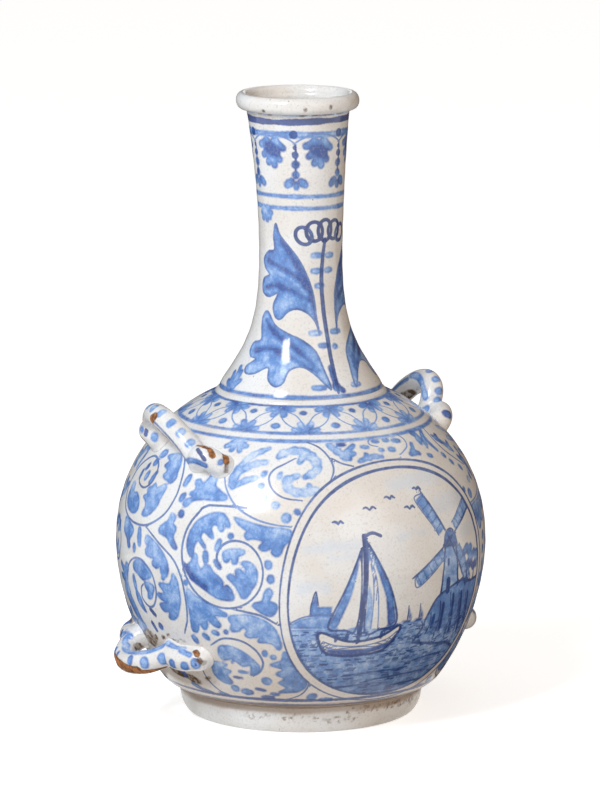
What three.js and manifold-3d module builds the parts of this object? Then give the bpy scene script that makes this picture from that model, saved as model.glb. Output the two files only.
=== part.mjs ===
// A tall tin-glazed earthenware bottle for carrying on a cord. A hollow globe thrown on the wheel sits on
// a foot ring, a trumpet neck with a rolled lip is luted on at a low band, and four rolled coils of clay
// are pressed on its two sides as loops for the cord. Millimetres, +Z up, the origin at the centre of the
// foot's underside, the round panel on -Y and the loops on the X axis. The feature that takes most skill
// is the coil loops: each is one coil whose middle stands off as a bow and whose ends lie on the globe.
import * as THREE from 'three'
import { mergeVertices } from 'three/addons/utils/BufferGeometryUtils.js'
import Module from 'manifold-3d'

const wasm = await Module()
wasm.setup()

// Foot ring
const FOOT_HEIGHT = 16
const FOOT_RADIUS = 70.5
const FOOT_ROUNDING = 7
const FOOT_ROUNDING_HEIGHT = 15
const FOOT_WALL = 14
const FOOT_CONTACT_WIDTH = 6

// Globe
const BELLY_RADIUS = 107.2
const BELLY_ABOVE_SEAT = 84
const SHOULDER_REACH = 97.4
const SHOULDER_POWER = 2.15
const BASE_REACH = 123
const BASE_POWER = 1.85
const TUCK_HEIGHT = 6
const TUCK_BULGE = 1.65
const BASE_LEDGE = 0.5
const PUSH_UP = 3
const GLOBE_WALL = 7
const GLOBE_FLOOR = 8
const FLOOR_FILLET = 6

// Neck and the band that it is luted on with
const NECK_BASE_RADIUS = 47.3
const NECK_CORE_RADIUS = 22.8
const NECK_TOP_RADIUS = 29.6
const NECK_HEIGHT = 161
const FLARE_LENGTH = 27
const FLARE_POWER = 1.33
const SPREAD_POWER = 3
const NECK_WALL = 6
const BAND_HEIGHT = 2.5
const BAND_SLOPE = 2.2
const BAND_CROWN = 0.5

// Rolled lip
const LIP_RADIUS = 35.4
const LIP_ROLL_WIDTH = 7.4
const LIP_HEIGHT = 9.4

// Coil loops: heights are above the globe's seat, lengths run round the globe
const COIL_RADIUS = 6.9
const COIL_LIFT = 2.5
const SEAT_GAP = 0.3
const LOOPS = {
  handle_upper_left: {
    azimuth: -90,
    height: 144.5,
    climb: -0.08,
    halfSpan: 23,
    standoff: 17.5,
    rise: 76,
    lean: -9,
    lobes: [11, 15],
    lobeCrown: 5
  },
  handle_upper_right: {
    azimuth: 99.5,
    height: 144.5,
    climb: -0.04,
    halfSpan: 15.5,
    standoff: 20.5,
    rise: 71,
    lean: -7.5,
    lobes: [19, 16],
    lobeCrown: 5
  },
  handle_lower_left: {
    azimuth: -95,
    height: 32,
    climb: -0.02,
    halfSpan: 19.5,
    standoff: 14.5,
    rise: -38,
    lean: -6,
    lobes: [15, 22],
    lobeCrown: 2.5
  },
  handle_lower_right: {
    azimuth: 93,
    height: 33,
    climb: 0.02,
    halfSpan: 19.5,
    standoff: 14.5,
    rise: -40,
    lean: 6,
    lobes: [20, 16],
    lobeCrown: 3.5
  }
}

// Half the height over which the globe's slope is taken
const SLOPE_REACH = 0.5

// Facets, and the points that the coils' middle lines run through
const ROUND_STEPS = 48
const FOOT_STEPS = 4
const PUSH_UP_STEPS = 3
const FILLET_STEPS = 2
const GLOBE_OUTER_STEPS = 16
const GLOBE_INNER_STEPS = 9
const BAND_STEPS = 4
const NECK_OUTER_STEPS = 12
const NECK_INNER_STEPS = 7
const ROLL_STEPS = 10
const COIL_SIDES = 10
const BOW_SPANS = 8
const BOW_RINGS = 20
const LOBE_SPANS = 2
const LOBE_RINGS = 5
const DOME_RINGS = 2

// Glazes
const PLAIN_GLAZE = { color: '#e2ddd0', roughness: 0.3 }
const PAINTED_GLAZE = { color: '#d0d8e6', roughness: 0.25 }
const WORN_GLAZE = { color: '#cfd8ea', roughness: 0.28 }

// Levels, worked out from the sizes above
const BELLY_HEIGHT = FOOT_HEIGHT + BELLY_ABOVE_SEAT
const GLOBE_MOUTH_RADIUS = NECK_BASE_RADIUS + BAND_SLOPE
const GLOBE_TOP = BELLY_HEIGHT + reachAt(GLOBE_MOUTH_RADIUS)
const NECK_SEAT = GLOBE_TOP + BAND_HEIGHT
const LIP_SEAT = NECK_SEAT + NECK_HEIGHT
const FOOT_BORE = FOOT_RADIUS - FOOT_WALL
const NECK_BORE_AT_BASE = NECK_BASE_RADIUS - NECK_WALL
const NECK_BORE_AT_TOP = NECK_TOP_RADIUS - NECK_WALL

// How far above the belly the shoulder, drawn in by a wall, has come in to a radius
function reachAt(radius, wall = 0) {
  return (SHOULDER_REACH - wall) * (1 - (radius / (BELLY_RADIUS - wall)) ** 2) ** (1 / SHOULDER_POWER)
}

// The thrown form at a height, drawn in by a wall: one quarter oval for the shoulder, one for the base
function globeRadius(height, wall = 0) {
  const rise = height - BELLY_HEIGHT
  const reach = (rise > 0 ? SHOULDER_REACH : BASE_REACH) - wall
  const power = rise > 0 ? SHOULDER_POWER : BASE_POWER
  const share = Math.min(1, Math.abs(rise) / reach)
  return (BELLY_RADIUS - wall) * Math.sqrt(1 - share ** power)
}

// The neck's outside: a flare that dies out upwards, and a slow spread towards the lip
function neckRadius(rise) {
  const spread = (NECK_TOP_RADIUS - NECK_CORE_RADIUS) * (rise / NECK_HEIGHT) ** SPREAD_POWER
  const flare = (NECK_BASE_RADIUS - NECK_CORE_RADIUS) * Math.exp(-((rise / FLARE_LENGTH) ** FLARE_POWER))
  return NECK_CORE_RADIUS + spread + flare
}

// Turns a closed outline of [radius, height] pairs round the Z axis
function turned(outline) {
  const points = outline.map(([radius, height]) => new THREE.Vector2(radius, height))
  return new THREE.LatheGeometry([...points, points[0]], ROUND_STEPS).rotateX(Math.PI / 2)
}

function evenShares(steps) {
  return Array.from({ length: steps + 1 }, (_, i) => i / steps)
}

// Shares across and up a quarter oval, from its level end to its upright end
function quarterOval(steps) {
  return evenShares(steps).map((share) => share * Math.PI / 2).map((angle) => [Math.sin(angle), 1 - Math.cos(angle)])
}

// Outline points from one height to another, spaced closer towards both ends
function wallPoints(from, to, steps, radiusAt) {
  const shares = evenShares(steps).map((share) => (1 - Math.cos(share * Math.PI)) / 2)
  return shares.map((share) => from + (to - from) * share).map((height) => [radiusAt(height), height])
}

// The globe's outside from its seat up to the neck band, grown by a gap
function globeOutline(gap = 0) {
  const seatRadius = FOOT_RADIUS + BASE_LEDGE + gap
  const tuckTop = FOOT_HEIGHT + TUCK_HEIGHT
  const outside = wallPoints(tuckTop, GLOBE_TOP, GLOBE_OUTER_STEPS, (height) => globeRadius(height) + gap)
  const tuckMiddle = [(seatRadius + outside[0][0]) / 2 + TUCK_BULGE, (FOOT_HEIGHT + tuckTop) / 2]
  return [[seatRadius, FOOT_HEIGHT], tuckMiddle, ...outside]
}

function globe() {
  const floor = FOOT_HEIGHT + GLOBE_FLOOR
  const wallStart = floor + FLOOR_FILLET
  const insideTop = BELLY_HEIGHT + reachAt(NECK_BORE_AT_BASE, GLOBE_WALL)
  const inside = wallPoints(insideTop, wallStart, GLOBE_INNER_STEPS, (height) => globeRadius(height, GLOBE_WALL))
  const filletEdge = inside.pop()[0] - FLOOR_FILLET
  const fillet = quarterOval(FILLET_STEPS).reverse().map(([across, up]) => [
    filletEdge + FLOOR_FILLET * across,
    floor + FLOOR_FILLET * up
  ])
  const pushUp = quarterOval(PUSH_UP_STEPS).map(([across, up]) => [
    FOOT_BORE * across,
    FOOT_HEIGHT + PUSH_UP * (1 - up)
  ])
  return turned([...pushUp, ...globeOutline(), [NECK_BORE_AT_BASE, GLOBE_TOP], ...inside, ...fillet, [0, floor]])
}

function footRing() {
  const contactOuter = FOOT_RADIUS - FOOT_ROUNDING
  const rounding = quarterOval(FOOT_STEPS).map(([across, up]) => [
    contactOuter + FOOT_ROUNDING * across,
    FOOT_ROUNDING_HEIGHT * up
  ])
  return turned([
    [contactOuter - FOOT_CONTACT_WIDTH, 0],
    ...rounding,
    [FOOT_RADIUS, FOOT_HEIGHT],
    [FOOT_BORE, FOOT_HEIGHT]
  ])
}

function neckBand() {
  const crown = evenShares(BAND_STEPS).map((share) => [
    GLOBE_MOUTH_RADIUS - BAND_SLOPE * share + BAND_CROWN * Math.sin(Math.PI * share),
    GLOBE_TOP + BAND_HEIGHT * share
  ])
  return turned([[NECK_BORE_AT_BASE, GLOBE_TOP], ...crown, [NECK_BORE_AT_BASE, NECK_SEAT]])
}

function neck() {
  const outside = wallPoints(0, NECK_HEIGHT, NECK_OUTER_STEPS, neckRadius)
  const inside = wallPoints(NECK_HEIGHT, 0, NECK_INNER_STEPS, (rise) => neckRadius(rise) - NECK_WALL)
  return turned([...outside, ...inside].map(([radius, rise]) => [radius, NECK_SEAT + rise]))
}

// The roll is an oval that starts under the lip on the neck's outside and ends inside the mouth
function lipRoll() {
  const middle = LIP_RADIUS - LIP_ROLL_WIDTH / 2
  const first = Math.atan2(-LIP_HEIGHT / 2, NECK_TOP_RADIUS - middle)
  const angles = evenShares(ROLL_STEPS).slice(1).map((share) => first + share * (Math.PI - first))
  const roll = angles.map((angle) => [
    middle + (LIP_ROLL_WIDTH / 2) * Math.cos(angle),
    LIP_SEAT + (LIP_HEIGHT / 2) * (1 + Math.sin(angle))
  ])
  return turned([[NECK_BORE_AT_TOP, LIP_SEAT], [NECK_TOP_RADIUS, LIP_SEAT], ...roll])
}

// A place on the globe: along is the distance round it from the loop's middle, lift the distance off it
function placeOnGlobe(loop, along, lift, out = 0) {
  const middleHeight = FOOT_HEIGHT + loop.height
  const azimuth = THREE.MathUtils.degToRad(loop.azimuth) + along / globeRadius(middleHeight)
  const height = middleHeight + loop.climb * along
  const slope = (globeRadius(height + SLOPE_REACH) - globeRadius(height - SLOPE_REACH)) / (2 * SLOPE_REACH)
  const normal = new THREE.Vector2(1, -slope).normalize()
  const radius = globeRadius(height) + lift * normal.x
  const point = new THREE.Vector3(radius * Math.sin(azimuth), -radius * Math.cos(azimuth), height + lift * normal.y)
  const rise = THREE.MathUtils.degToRad(loop.rise)
  const middle = THREE.MathUtils.degToRad(loop.azimuth)
  const outward = new THREE.Vector3(
    Math.sin(middle) * Math.cos(rise),
    -Math.cos(middle) * Math.cos(rise),
    Math.sin(rise)
  )
  return point.addScaledVector(outward, out)
}

// The bow from crease to crease: its legs go down into the globe's skin and its bend leans to one side
function bowCurve(loop) {
  const angles = evenShares(BOW_SPANS).map((share) => share * Math.PI)
  return new THREE.CatmullRomCurve3(angles.map((angle) => placeOnGlobe(
    loop,
    -loop.halfSpan * Math.cos(angle) + loop.lean * Math.sin(angle),
    COIL_LIFT,
    loop.standoff * Math.sin(angle)
  )))
}

// A coil end from the crease outwards, lying on the globe with its middle a little proud
function lobeCurve(loop, side, length) {
  return new THREE.CatmullRomCurve3(evenShares(LOBE_SPANS).map((share) => placeOnGlobe(
    loop,
    side * (loop.halfSpan + length * share),
    COIL_LIFT + loop.lobeCrown * Math.sin(Math.PI * share)
  )))
}

// A round coil along a curve, closed by a dome at each end
function coil(curve, rings) {
  const frames = curve.computeFrenetFrames(rings, false)
  const domeAngles = Array.from({ length: DOME_RINGS }, (_, i) => (1 - (i + 1) / (DOME_RINGS + 1)) * Math.PI / 2)
  const ringAt = (index, radius, ahead) => ({
    centre: curve.getPoint(index / rings).addScaledVector(frames.tangents[index], ahead),
    index,
    radius
  })
  const dome = (index, direction) => domeAngles.map((angle) => ringAt(
    index,
    COIL_RADIUS * Math.cos(angle),
    direction * COIL_RADIUS * Math.sin(angle)
  ))
  const body = Array.from({ length: rings + 1 }, (_, index) => ringAt(index, COIL_RADIUS, 0))
  const stations = [...dome(0, -1), ...body, ...dome(rings, 1).reverse()]
  const positions = []
  for (const { centre, index, radius } of stations) {
    for (let side = 0; side < COIL_SIDES; side += 1) {
      const angle = (side / COIL_SIDES) * Math.PI * 2
      const point = centre.clone()
        .addScaledVector(frames.normals[index], radius * Math.cos(angle))
        .addScaledVector(frames.binormals[index], radius * Math.sin(angle))
      positions.push(point.x, point.y, point.z)
    }
  }
  const startTip = ringAt(0, 0, -COIL_RADIUS).centre
  const endTip = ringAt(rings, 0, COIL_RADIUS).centre
  positions.push(startTip.x, startTip.y, startTip.z, endTip.x, endTip.y, endTip.z)
  const faces = []
  const corner = (station, side) => station * COIL_SIDES + (side % COIL_SIDES)
  const last = stations.length - 1
  for (let side = 0; side < COIL_SIDES; side += 1) {
    for (let station = 0; station < last; station += 1) {
      faces.push(corner(station, side), corner(station, side + 1), corner(station + 1, side + 1))
      faces.push(corner(station, side), corner(station + 1, side + 1), corner(station + 1, side))
    }
    faces.push(stations.length * COIL_SIDES, corner(0, side + 1), corner(0, side))
    faces.push(stations.length * COIL_SIDES + 1, corner(last, side), corner(last, side + 1))
  }
  const geometry = new THREE.BufferGeometry()
  geometry.setAttribute('position', new THREE.Float32BufferAttribute(positions, 3))
  geometry.setIndex(faces)
  return geometry
}

function toSolid(geometry) {
  geometry.deleteAttribute('normal')
  geometry.deleteAttribute('uv')
  const merged = mergeVertices(geometry)
  return new wasm.Manifold(new wasm.Mesh({
    numProp: 3,
    vertProperties: new Float32Array(merged.attributes.position.array),
    triVerts: new Uint32Array(merged.index.array)
  }))
}

function toGeometry(solid) {
  const mesh = solid.getMesh()
  const geometry = new THREE.BufferGeometry()
  geometry.setAttribute('position', new THREE.BufferAttribute(mesh.vertProperties, 3))
  geometry.setIndex(new THREE.BufferAttribute(mesh.triVerts, 1))
  return geometry
}

// One loop: a bow and two lobes pressed together at the creases, seated on the globe's outside
function loopHandle(loop, globeForm) {
  const [startLobe, endLobe] = loop.lobes
  const solid = toSolid(coil(bowCurve(loop), BOW_RINGS))
    .add(toSolid(coil(lobeCurve(loop, -1, startLobe), LOBE_RINGS)))
    .add(toSolid(coil(lobeCurve(loop, 1, endLobe), LOBE_RINGS)))
    .subtract(globeForm)
  return toGeometry(solid)
}

const seatForm = toSolid(turned([[0, FOOT_HEIGHT], ...globeOutline(SEAT_GAP), [0, GLOBE_TOP]]))
const bottle = new THREE.Group()

function addPiece(name, geometry, glaze) {
  const mesh = new THREE.Mesh(geometry, new THREE.MeshStandardMaterial({ ...glaze, metalness: 0 }))
  mesh.name = name
  bottle.add(mesh)
}

addPiece('foot_ring', footRing(), PLAIN_GLAZE)
addPiece('globe', globe(), PAINTED_GLAZE)
addPiece('neck_band', neckBand(), PLAIN_GLAZE)
addPiece('neck', neck(), PAINTED_GLAZE)
addPiece('lip_roll', lipRoll(), PLAIN_GLAZE)
for (const [name, loop] of Object.entries(LOOPS)) {
  addPiece(name, loopHandle(loop, seatForm), WORN_GLAZE)
}

export default bottle
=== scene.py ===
"""A tin-glazed earthenware bottle with four coil loops, painted in cobalt blue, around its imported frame.

The turned pieces are fine meshes. The painter's strokes are laid on them as distances in millimetres, kept
in mesh attributes, and the glaze materials turn those distances into paint.
"""
import math
import random

import bpy
import numpy as np
from bpy.props import FloatProperty, FloatVectorProperty, PointerProperty
from bpy.types import Operator, Panel, PropertyGroup
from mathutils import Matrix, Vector


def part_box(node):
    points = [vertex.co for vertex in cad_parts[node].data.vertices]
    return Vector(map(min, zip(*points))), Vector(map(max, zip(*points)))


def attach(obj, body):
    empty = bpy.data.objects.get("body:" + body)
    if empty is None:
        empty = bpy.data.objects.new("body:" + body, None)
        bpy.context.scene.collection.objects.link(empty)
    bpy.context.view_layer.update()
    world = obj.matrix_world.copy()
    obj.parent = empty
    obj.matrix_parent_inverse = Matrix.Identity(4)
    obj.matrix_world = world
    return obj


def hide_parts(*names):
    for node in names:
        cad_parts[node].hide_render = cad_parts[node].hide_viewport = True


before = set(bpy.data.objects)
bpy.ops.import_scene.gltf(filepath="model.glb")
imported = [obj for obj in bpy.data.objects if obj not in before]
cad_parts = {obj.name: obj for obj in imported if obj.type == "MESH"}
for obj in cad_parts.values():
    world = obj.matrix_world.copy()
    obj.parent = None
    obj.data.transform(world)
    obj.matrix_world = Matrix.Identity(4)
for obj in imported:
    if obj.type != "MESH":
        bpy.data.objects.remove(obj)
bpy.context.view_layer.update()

bl_info = {
    "name": "Tin-glazed bottle",
    "version": (1, 0, 0),
    "blender": (4, 5, 0),
    "location": "View3D > Sidebar > Bottle",
    "description": "Dresses the packed bottle: thrown forms, coil loops, cobalt painting and glaze",
    "category": "Object",
}

MM = 0.001

# Shape of the turned pieces, in millimetres, as the frame has them
FOOT_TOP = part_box("foot_ring")[1].z / MM
GLOBE_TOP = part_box("globe")[1].z / MM
NECK_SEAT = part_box("neck")[0].z / MM
NECK_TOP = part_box("neck")[1].z / MM
LIP_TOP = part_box("lip_roll")[1].z / MM
FOOT_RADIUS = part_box("foot_ring")[1].x / MM
FOOT_ROUNDING = 7
FOOT_ROUNDING_HEIGHT = 15
FOOT_WALL = 14
FOOT_EDGE_WIDTH = 0.9
FOOT_EDGE_HEIGHT = 0.8
BELLY_RADIUS = 107.2
BELLY_HEIGHT = 100
SHOULDER_REACH = 97.4
SHOULDER_POWER = 2.15
BASE_REACH = 123
BASE_POWER = 1.85
TUCK_HEIGHT = 6
TUCK_BULGE = 1.65
BASE_LEDGE = 0.5
PUSH_UP = 3
PUSH_UP_SHARES = ((0, 1), (22, 0.9), (44, 0.5))
MOUTH_BEVEL = 4
GLOBE_WALL = 7
GLOBE_FLOOR = 8
NECK_BASE_RADIUS = 47.3
NECK_CORE_RADIUS = 22.8
NECK_TOP_RADIUS = 29.6
FLARE_LENGTH = 27
FLARE_POWER = 1.33
SPREAD_POWER = 3
NECK_WALL = 6
FLOOR_CORNER = 6
BAND_SLOPE = 2.2
BAND_CROWN = 0.5
LIP_RADIUS = 35.4
LIP_ROLL_WIDTH = 7.4

# The neck leans a little from this height up, towards this azimuth
LEAN_START = 285
LEAN = 2.0
LEAN_AZIMUTH = -124

# The thrower's hand. Shares of the radius that the walls waver in two and in three waves round, and that they
# shrank, and the height and pitch of the rings that the fingers left
OVALITY = 0.0012
WAVER = 0.0006
SHRINKAGE = 0.0028
FINGER_RINGS = 0.06
FINGER_PITCH = 1.9

# Distance between the rings of the insides, which carry no paint
FOOT_INSIDE_STEP = 2
GLOBE_INSIDE_STEP = 22
NECK_INSIDE_STEP = 12

# Points round the pieces that aren't meshed by a spacing
FOOT_COLUMNS = 360
NECK_COLUMNS = 320
BAND_COLUMNS = 288
LIP_COLUMNS = 288
LIP_PAINTED_ROWS = 18

# Coil loops, as the frame has them
COIL_RADIUS = 6.9
COIL_LIFT = 2.5
COIL_SIDES = 28
LOOPS = {
    "handle_upper_left": dict(
        azimuth=-90, height=144.5, climb=-0.08, half_span=23, standoff=17.5, rise=76, lean=-9,
        lobes=(11, 15), crown=5),
    "handle_upper_right": dict(
        azimuth=99.5, height=144.5, climb=-0.04, half_span=15.5, standoff=20.5, rise=71, lean=-7.5,
        lobes=(19, 16), crown=5),
    "handle_lower_left": dict(
        azimuth=-95, height=32, climb=-0.02, half_span=19.5, standoff=14.5, rise=-38, lean=-6,
        lobes=(15, 22), crown=2.5),
    "handle_lower_right": dict(
        azimuth=93, height=33, climb=0.02, half_span=19.5, standoff=14.5, rise=-40, lean=6,
        lobes=(20, 16), crown=3.5),
}

# How the wet coils were worked: the skirt wiped out at the globe, how deep it sits, the dents of fingers, and
# the depth and the edge of chips
SKIRT_WIDTH = 1.9
SKIRT_HEIGHT = 1.1
SEAT_SINK = 0.5
FINGER_DENTS = 0.15
CHIP_DEPTH = 0.45
CHIP_SLOPE = 1.2

# Marks on the loops, each as its layer, its coil (0 the bow, 1 and 2 its start and end lobes), where it
# starts and ends as (share along the coil, degrees from outwards to up), its half width and its tone
BOW_TOUCHES = [("wash", 0, (share, turn - 10), (share, turn + 10), 2.3, tone) for share, turn, tone in (
    (0.12, 12, 0.42), (0.22, 2, 0.36), (0.32, -2, 0.4), (0.42, 0, 0.3), (0.5, -3, 0.34), (0.6, 1, 0.24),
    (0.71, 0, 0.3), (0.8, 6, 0.3), (0.89, 15, 0.36))]
LOW_TOUCHES = [("wash", 0, (share, turn - 8), (share, turn + 8), half, tone) for share, turn, half, tone in (
    (0.1, 8, 2.4, 0.5), (0.22, 24, 2.5, 0.45), (0.34, 48, 2.2, 0.5), (0.44, 60, 1.4, 0.5),
    (0.65, 48, 2.3, 0.42), (0.78, 24, 2.9, 0.52), (0.93, 6, 3.0, 0.5))]
LOW_TOUCHES += [("wash", 0, (0.05, 50), (0.2, 96), 1.8, 0.42), ("wash", 0, (0.2, 96), (0.33, 122), 2.0, 0.3),
                ("wash", 0, (0.33, 122), (0.65, 98), 2.4, 0.3),
                ("wash", 0, (0.65, 98), (0.97, 74), 2.3, 0.38), ("wash", 2, (0.0, 92), (0.62, 106), 1.9, 0.3),
                ("wash", 2, (0.6, 86), (0.86, 62), 1.8, 0.45), ("wash", 2, (0.46, -4), (0.46, 10), 2.6, 0.5),
                ("wash", 2, (0.74, -6), (0.74, 4), 2.7, 0.48), ("wash", 2, (1.0, 8), (1.0, 20), 3.1, 0.55),
                ("deep", 2, (1.0, 6), (1.0, 12), 0.9, 1), ("wash", 1, (0.92, 70), (0.92, 100), 2.5, 0.66),
                ("deep", 1, (0.42, 38), (0.46, 62), 1.2, 1), ("wash", 1, (0.5, 0), (0.56, 10), 2.4, 0.5)]
LOOP_MARKS = {
    "handle_upper_left": BOW_TOUCHES + [
        ("wash", 0, (0.02, 36), (0.0, 30), 2.3, 0.3), ("deep", 1, (0.24, -32), (0.27, -12), 1.5, 1),
        ("wash", 2, (0.0, -52), (0.7, -62), 1.9, 0.45), ("deep", 2, (0.46, 6), (0.66, -34), 1.3, 1),
        ("wash", 2, (0.97, -12), (1.0, -2), 1.8, 0.62), ("chip", 0, (0.55, -58), (0.57, -36), 2.5, 0),
        # A dark wash along the bow's underside paints its shadow line
        ("wash", 0, (0.56, -60), (0.98, -66), 0.8, 0.85),
        ("chip", 0, (0.5, 62), (0.63, 74), 1.1, 0), ("chip", 2, (0.3, 44), (0.66, 32), 1.4, 0),
        ("chip", 2, (0.66, 32), (0.76, 2), 1.7, 0), ("chip", 2, (0.98, 84), (1.1, 18), 2.4, 0),
        # The brown marks along the undersides of the bow and first lobe are painted shade under them; at the
        # second lobe's end it is dirt in the joint
        ("grime_and_shade", 2, (1.06, 40), (1.22, -40), 1.5, 0), ("grime_and_shade", 0, (0.55, -80), (0.95, -82), 0.5, 0),
        ("grime_and_shade", 1, (0.1, -80), (0.6, -84), 1.2, 0)],
    "handle_upper_right": [
        ("wash", 0, (0.6, 82), (0.42, 104), 2.3, 0.42), ("wash", 0, (0.42, 104), (0.17, 138), 2.4, 0.36),
        ("wash", 1, (0.0, 126), (0.3, 112), 2.2, 0.4), ("wash", 0, (0.66, 96), (0.95, 104), 1.5, 0.5),
        ("wash", 0, (0.45, 22), (0.44, 36), 2.2, 0.24), ("wash", 0, (0.34, 22), (0.33, 36), 2.3, 0.36),
        ("wash", 0, (0.24, 30), (0.23, 46), 2.4, 0.42), ("wash", 1, (0.4, 36), (0.48, 54), 2.1, 0.4),
        # The brown marks on the inner sides of the bow and first lobe, which face the globe, are painted
        # shade inside the loop
        ("wash", 1, (0.97, -4), (1.02, 14), 2.9, 0.86), ("grime_and_shade", 0, (0.7, 178), (1.0, 168), 3.4, 0),
        ("grime_and_shade", 1, (0.3, 168), (0.7, 150), 1.4, 0)] + [
        ("wash", 0, (share, -8), (share, 8), 2.3, 0.4) for share in (0.6, 0.72, 0.84, 0.95)],
    "handle_lower_left": LOW_TOUCHES + [
        ("chip", 0, (0.38, 24), (0.53, 14), 3.2, 0), ("chip", 0, (0.53, 12), (0.7, -14), 3.1, 0),
        ("chip", 0, (0.7, -20), (0.9, -56), 1.8, 0), ("chip", 2, (0.98, 80), (1.06, 62), 1.6, 0),
        # The brown marks on the sides that face the globe are dirt and painted shade inside the loop; at the
        # second lobe's end it is dirt in the joint
        ("grime_and_shade", 2, (1.05, 40), (1.2, 10), 1.8, 0), ("grime_and_shade", 1, (0.8, 120), (1.1, 110), 1.6, 0),
        ("grime_and_shade", 0, (0.0, 150), (0.2, 170), 2.4, 0)],
    "handle_lower_right": LOW_TOUCHES + [("chip", 0, (0.45, -30), (0.6, -40), 1.6, 0)],
}

# The painting: azimuths in degrees from the panel's middle, heights and lengths in millimetres
FAR = 50.0
REACHES = ("wash", "deep", "mist", "grime_and_shade", "line_near", "line_side")
PALE, LIGHT, MIDDLE, STRONG, DARK = 0.1, 0.3, 0.5, 0.75, 1.0
PANEL_HEIGHT = 89.5
PANEL_RADIUS = 75.2
PANEL_INNER = 70.4
LEAF_SWELL = 0.65
# How far past a stroke's edge its distances are laid, which leaves room for a ragged edge
MARGIN = 4
SEED = 11

# Heights between which the glaze is brown over the foot, before the band's edges wander: clay under thin
# glaze, and painted shade and dark reflection in the crease under the body
JOINT_BAND_AND_SHADE = (FOOT_TOP - 3, FOOT_TOP + 7.5)

# Nodes and their settings that the materials use many times
MATH = "ShaderNodeMath"
MIX = "ShaderNodeMix"
NOISE = "ShaderNodeTexNoise"
RANGE = "ShaderNodeMapRange"
EASED = {"interpolation_type": "SMOOTHSTEP"}
OVER = {"data_type": "RGBA"}
TINTED = {"data_type": "RGBA", "blend_type": "MULTIPLY"}


def linear(code):
    """An sRGB hex colour as linear RGBA"""
    values = [int(code[i:i + 2], 16) / 255 for i in (1, 3, 5)]
    return tuple(v / 12.92 if v <= 0.04045 else ((v + 0.055) / 1.055) ** 2.4 for v in values) + (1,)


# Forms of the turned pieces


def globe_radius(height, wall=0.0):
    """The globe's outside, drawn in by a wall: one quarter oval for the shoulder, one for the base"""
    rise = np.asarray(height, float) - BELLY_HEIGHT
    reach = np.where(rise > 0, SHOULDER_REACH, BASE_REACH) - wall
    power = np.where(rise > 0, SHOULDER_POWER, BASE_POWER)
    share = np.minimum(1, np.abs(rise) / reach)
    return (BELLY_RADIUS - wall) * np.sqrt(1 - share ** power)


def neck_radius(height):
    """The neck's outside: a flare that dies out upwards, and a slow spread towards the lip"""
    rise = np.maximum(0, np.asarray(height, float) - NECK_SEAT)
    spread = (NECK_TOP_RADIUS - NECK_CORE_RADIUS) * (rise / (NECK_TOP - NECK_SEAT)) ** SPREAD_POWER
    flare = (NECK_BASE_RADIUS - NECK_CORE_RADIUS) * np.exp(-((rise / FLARE_LENGTH) ** FLARE_POWER))
    return NECK_CORE_RADIUS + spread + flare


def smooth(points, steps=6):
    """A smooth line through the given points"""
    p = np.array(points, float)
    if len(p) < 3:
        return p
    p = np.vstack([2 * p[0] - p[1], p, 2 * p[-1] - p[-2]])
    share = (np.arange(steps) / steps)[:, None]
    spans = []
    for a, b, c, d in zip(p, p[1:], p[2:], p[3:]):
        spans.append(0.5 * (2 * b + (c - a) * share + (2 * a - 5 * b + 4 * c - d) * share ** 2
                            + (3 * b - a - 3 * c + d) * share ** 3))
    return np.vstack([*spans, p[-2]])


def wall_points(low, high, spacing, radius_at):
    """Outline points from one height to another, evenly spaced along the wall"""
    heights = np.linspace(low, high, 800)
    radii = radius_at(heights)
    arc = np.concatenate([[0], np.cumsum(np.hypot(np.diff(heights), np.diff(radii)))])
    count = max(2, round(arc[-1] / spacing) + 1)
    heights = np.interp(np.linspace(0, arc[-1], count), arc, heights)
    return np.column_stack([radius_at(heights), heights])


def oval_points(middle_radius, middle_height, half_width, half_height, start, end, steps):
    """Points on an oval between two angles in degrees"""
    angles = np.radians(np.linspace(start, end, steps))
    return np.column_stack([
        middle_radius + half_width * np.cos(angles),
        middle_height + half_height * np.sin(angles)])


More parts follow.
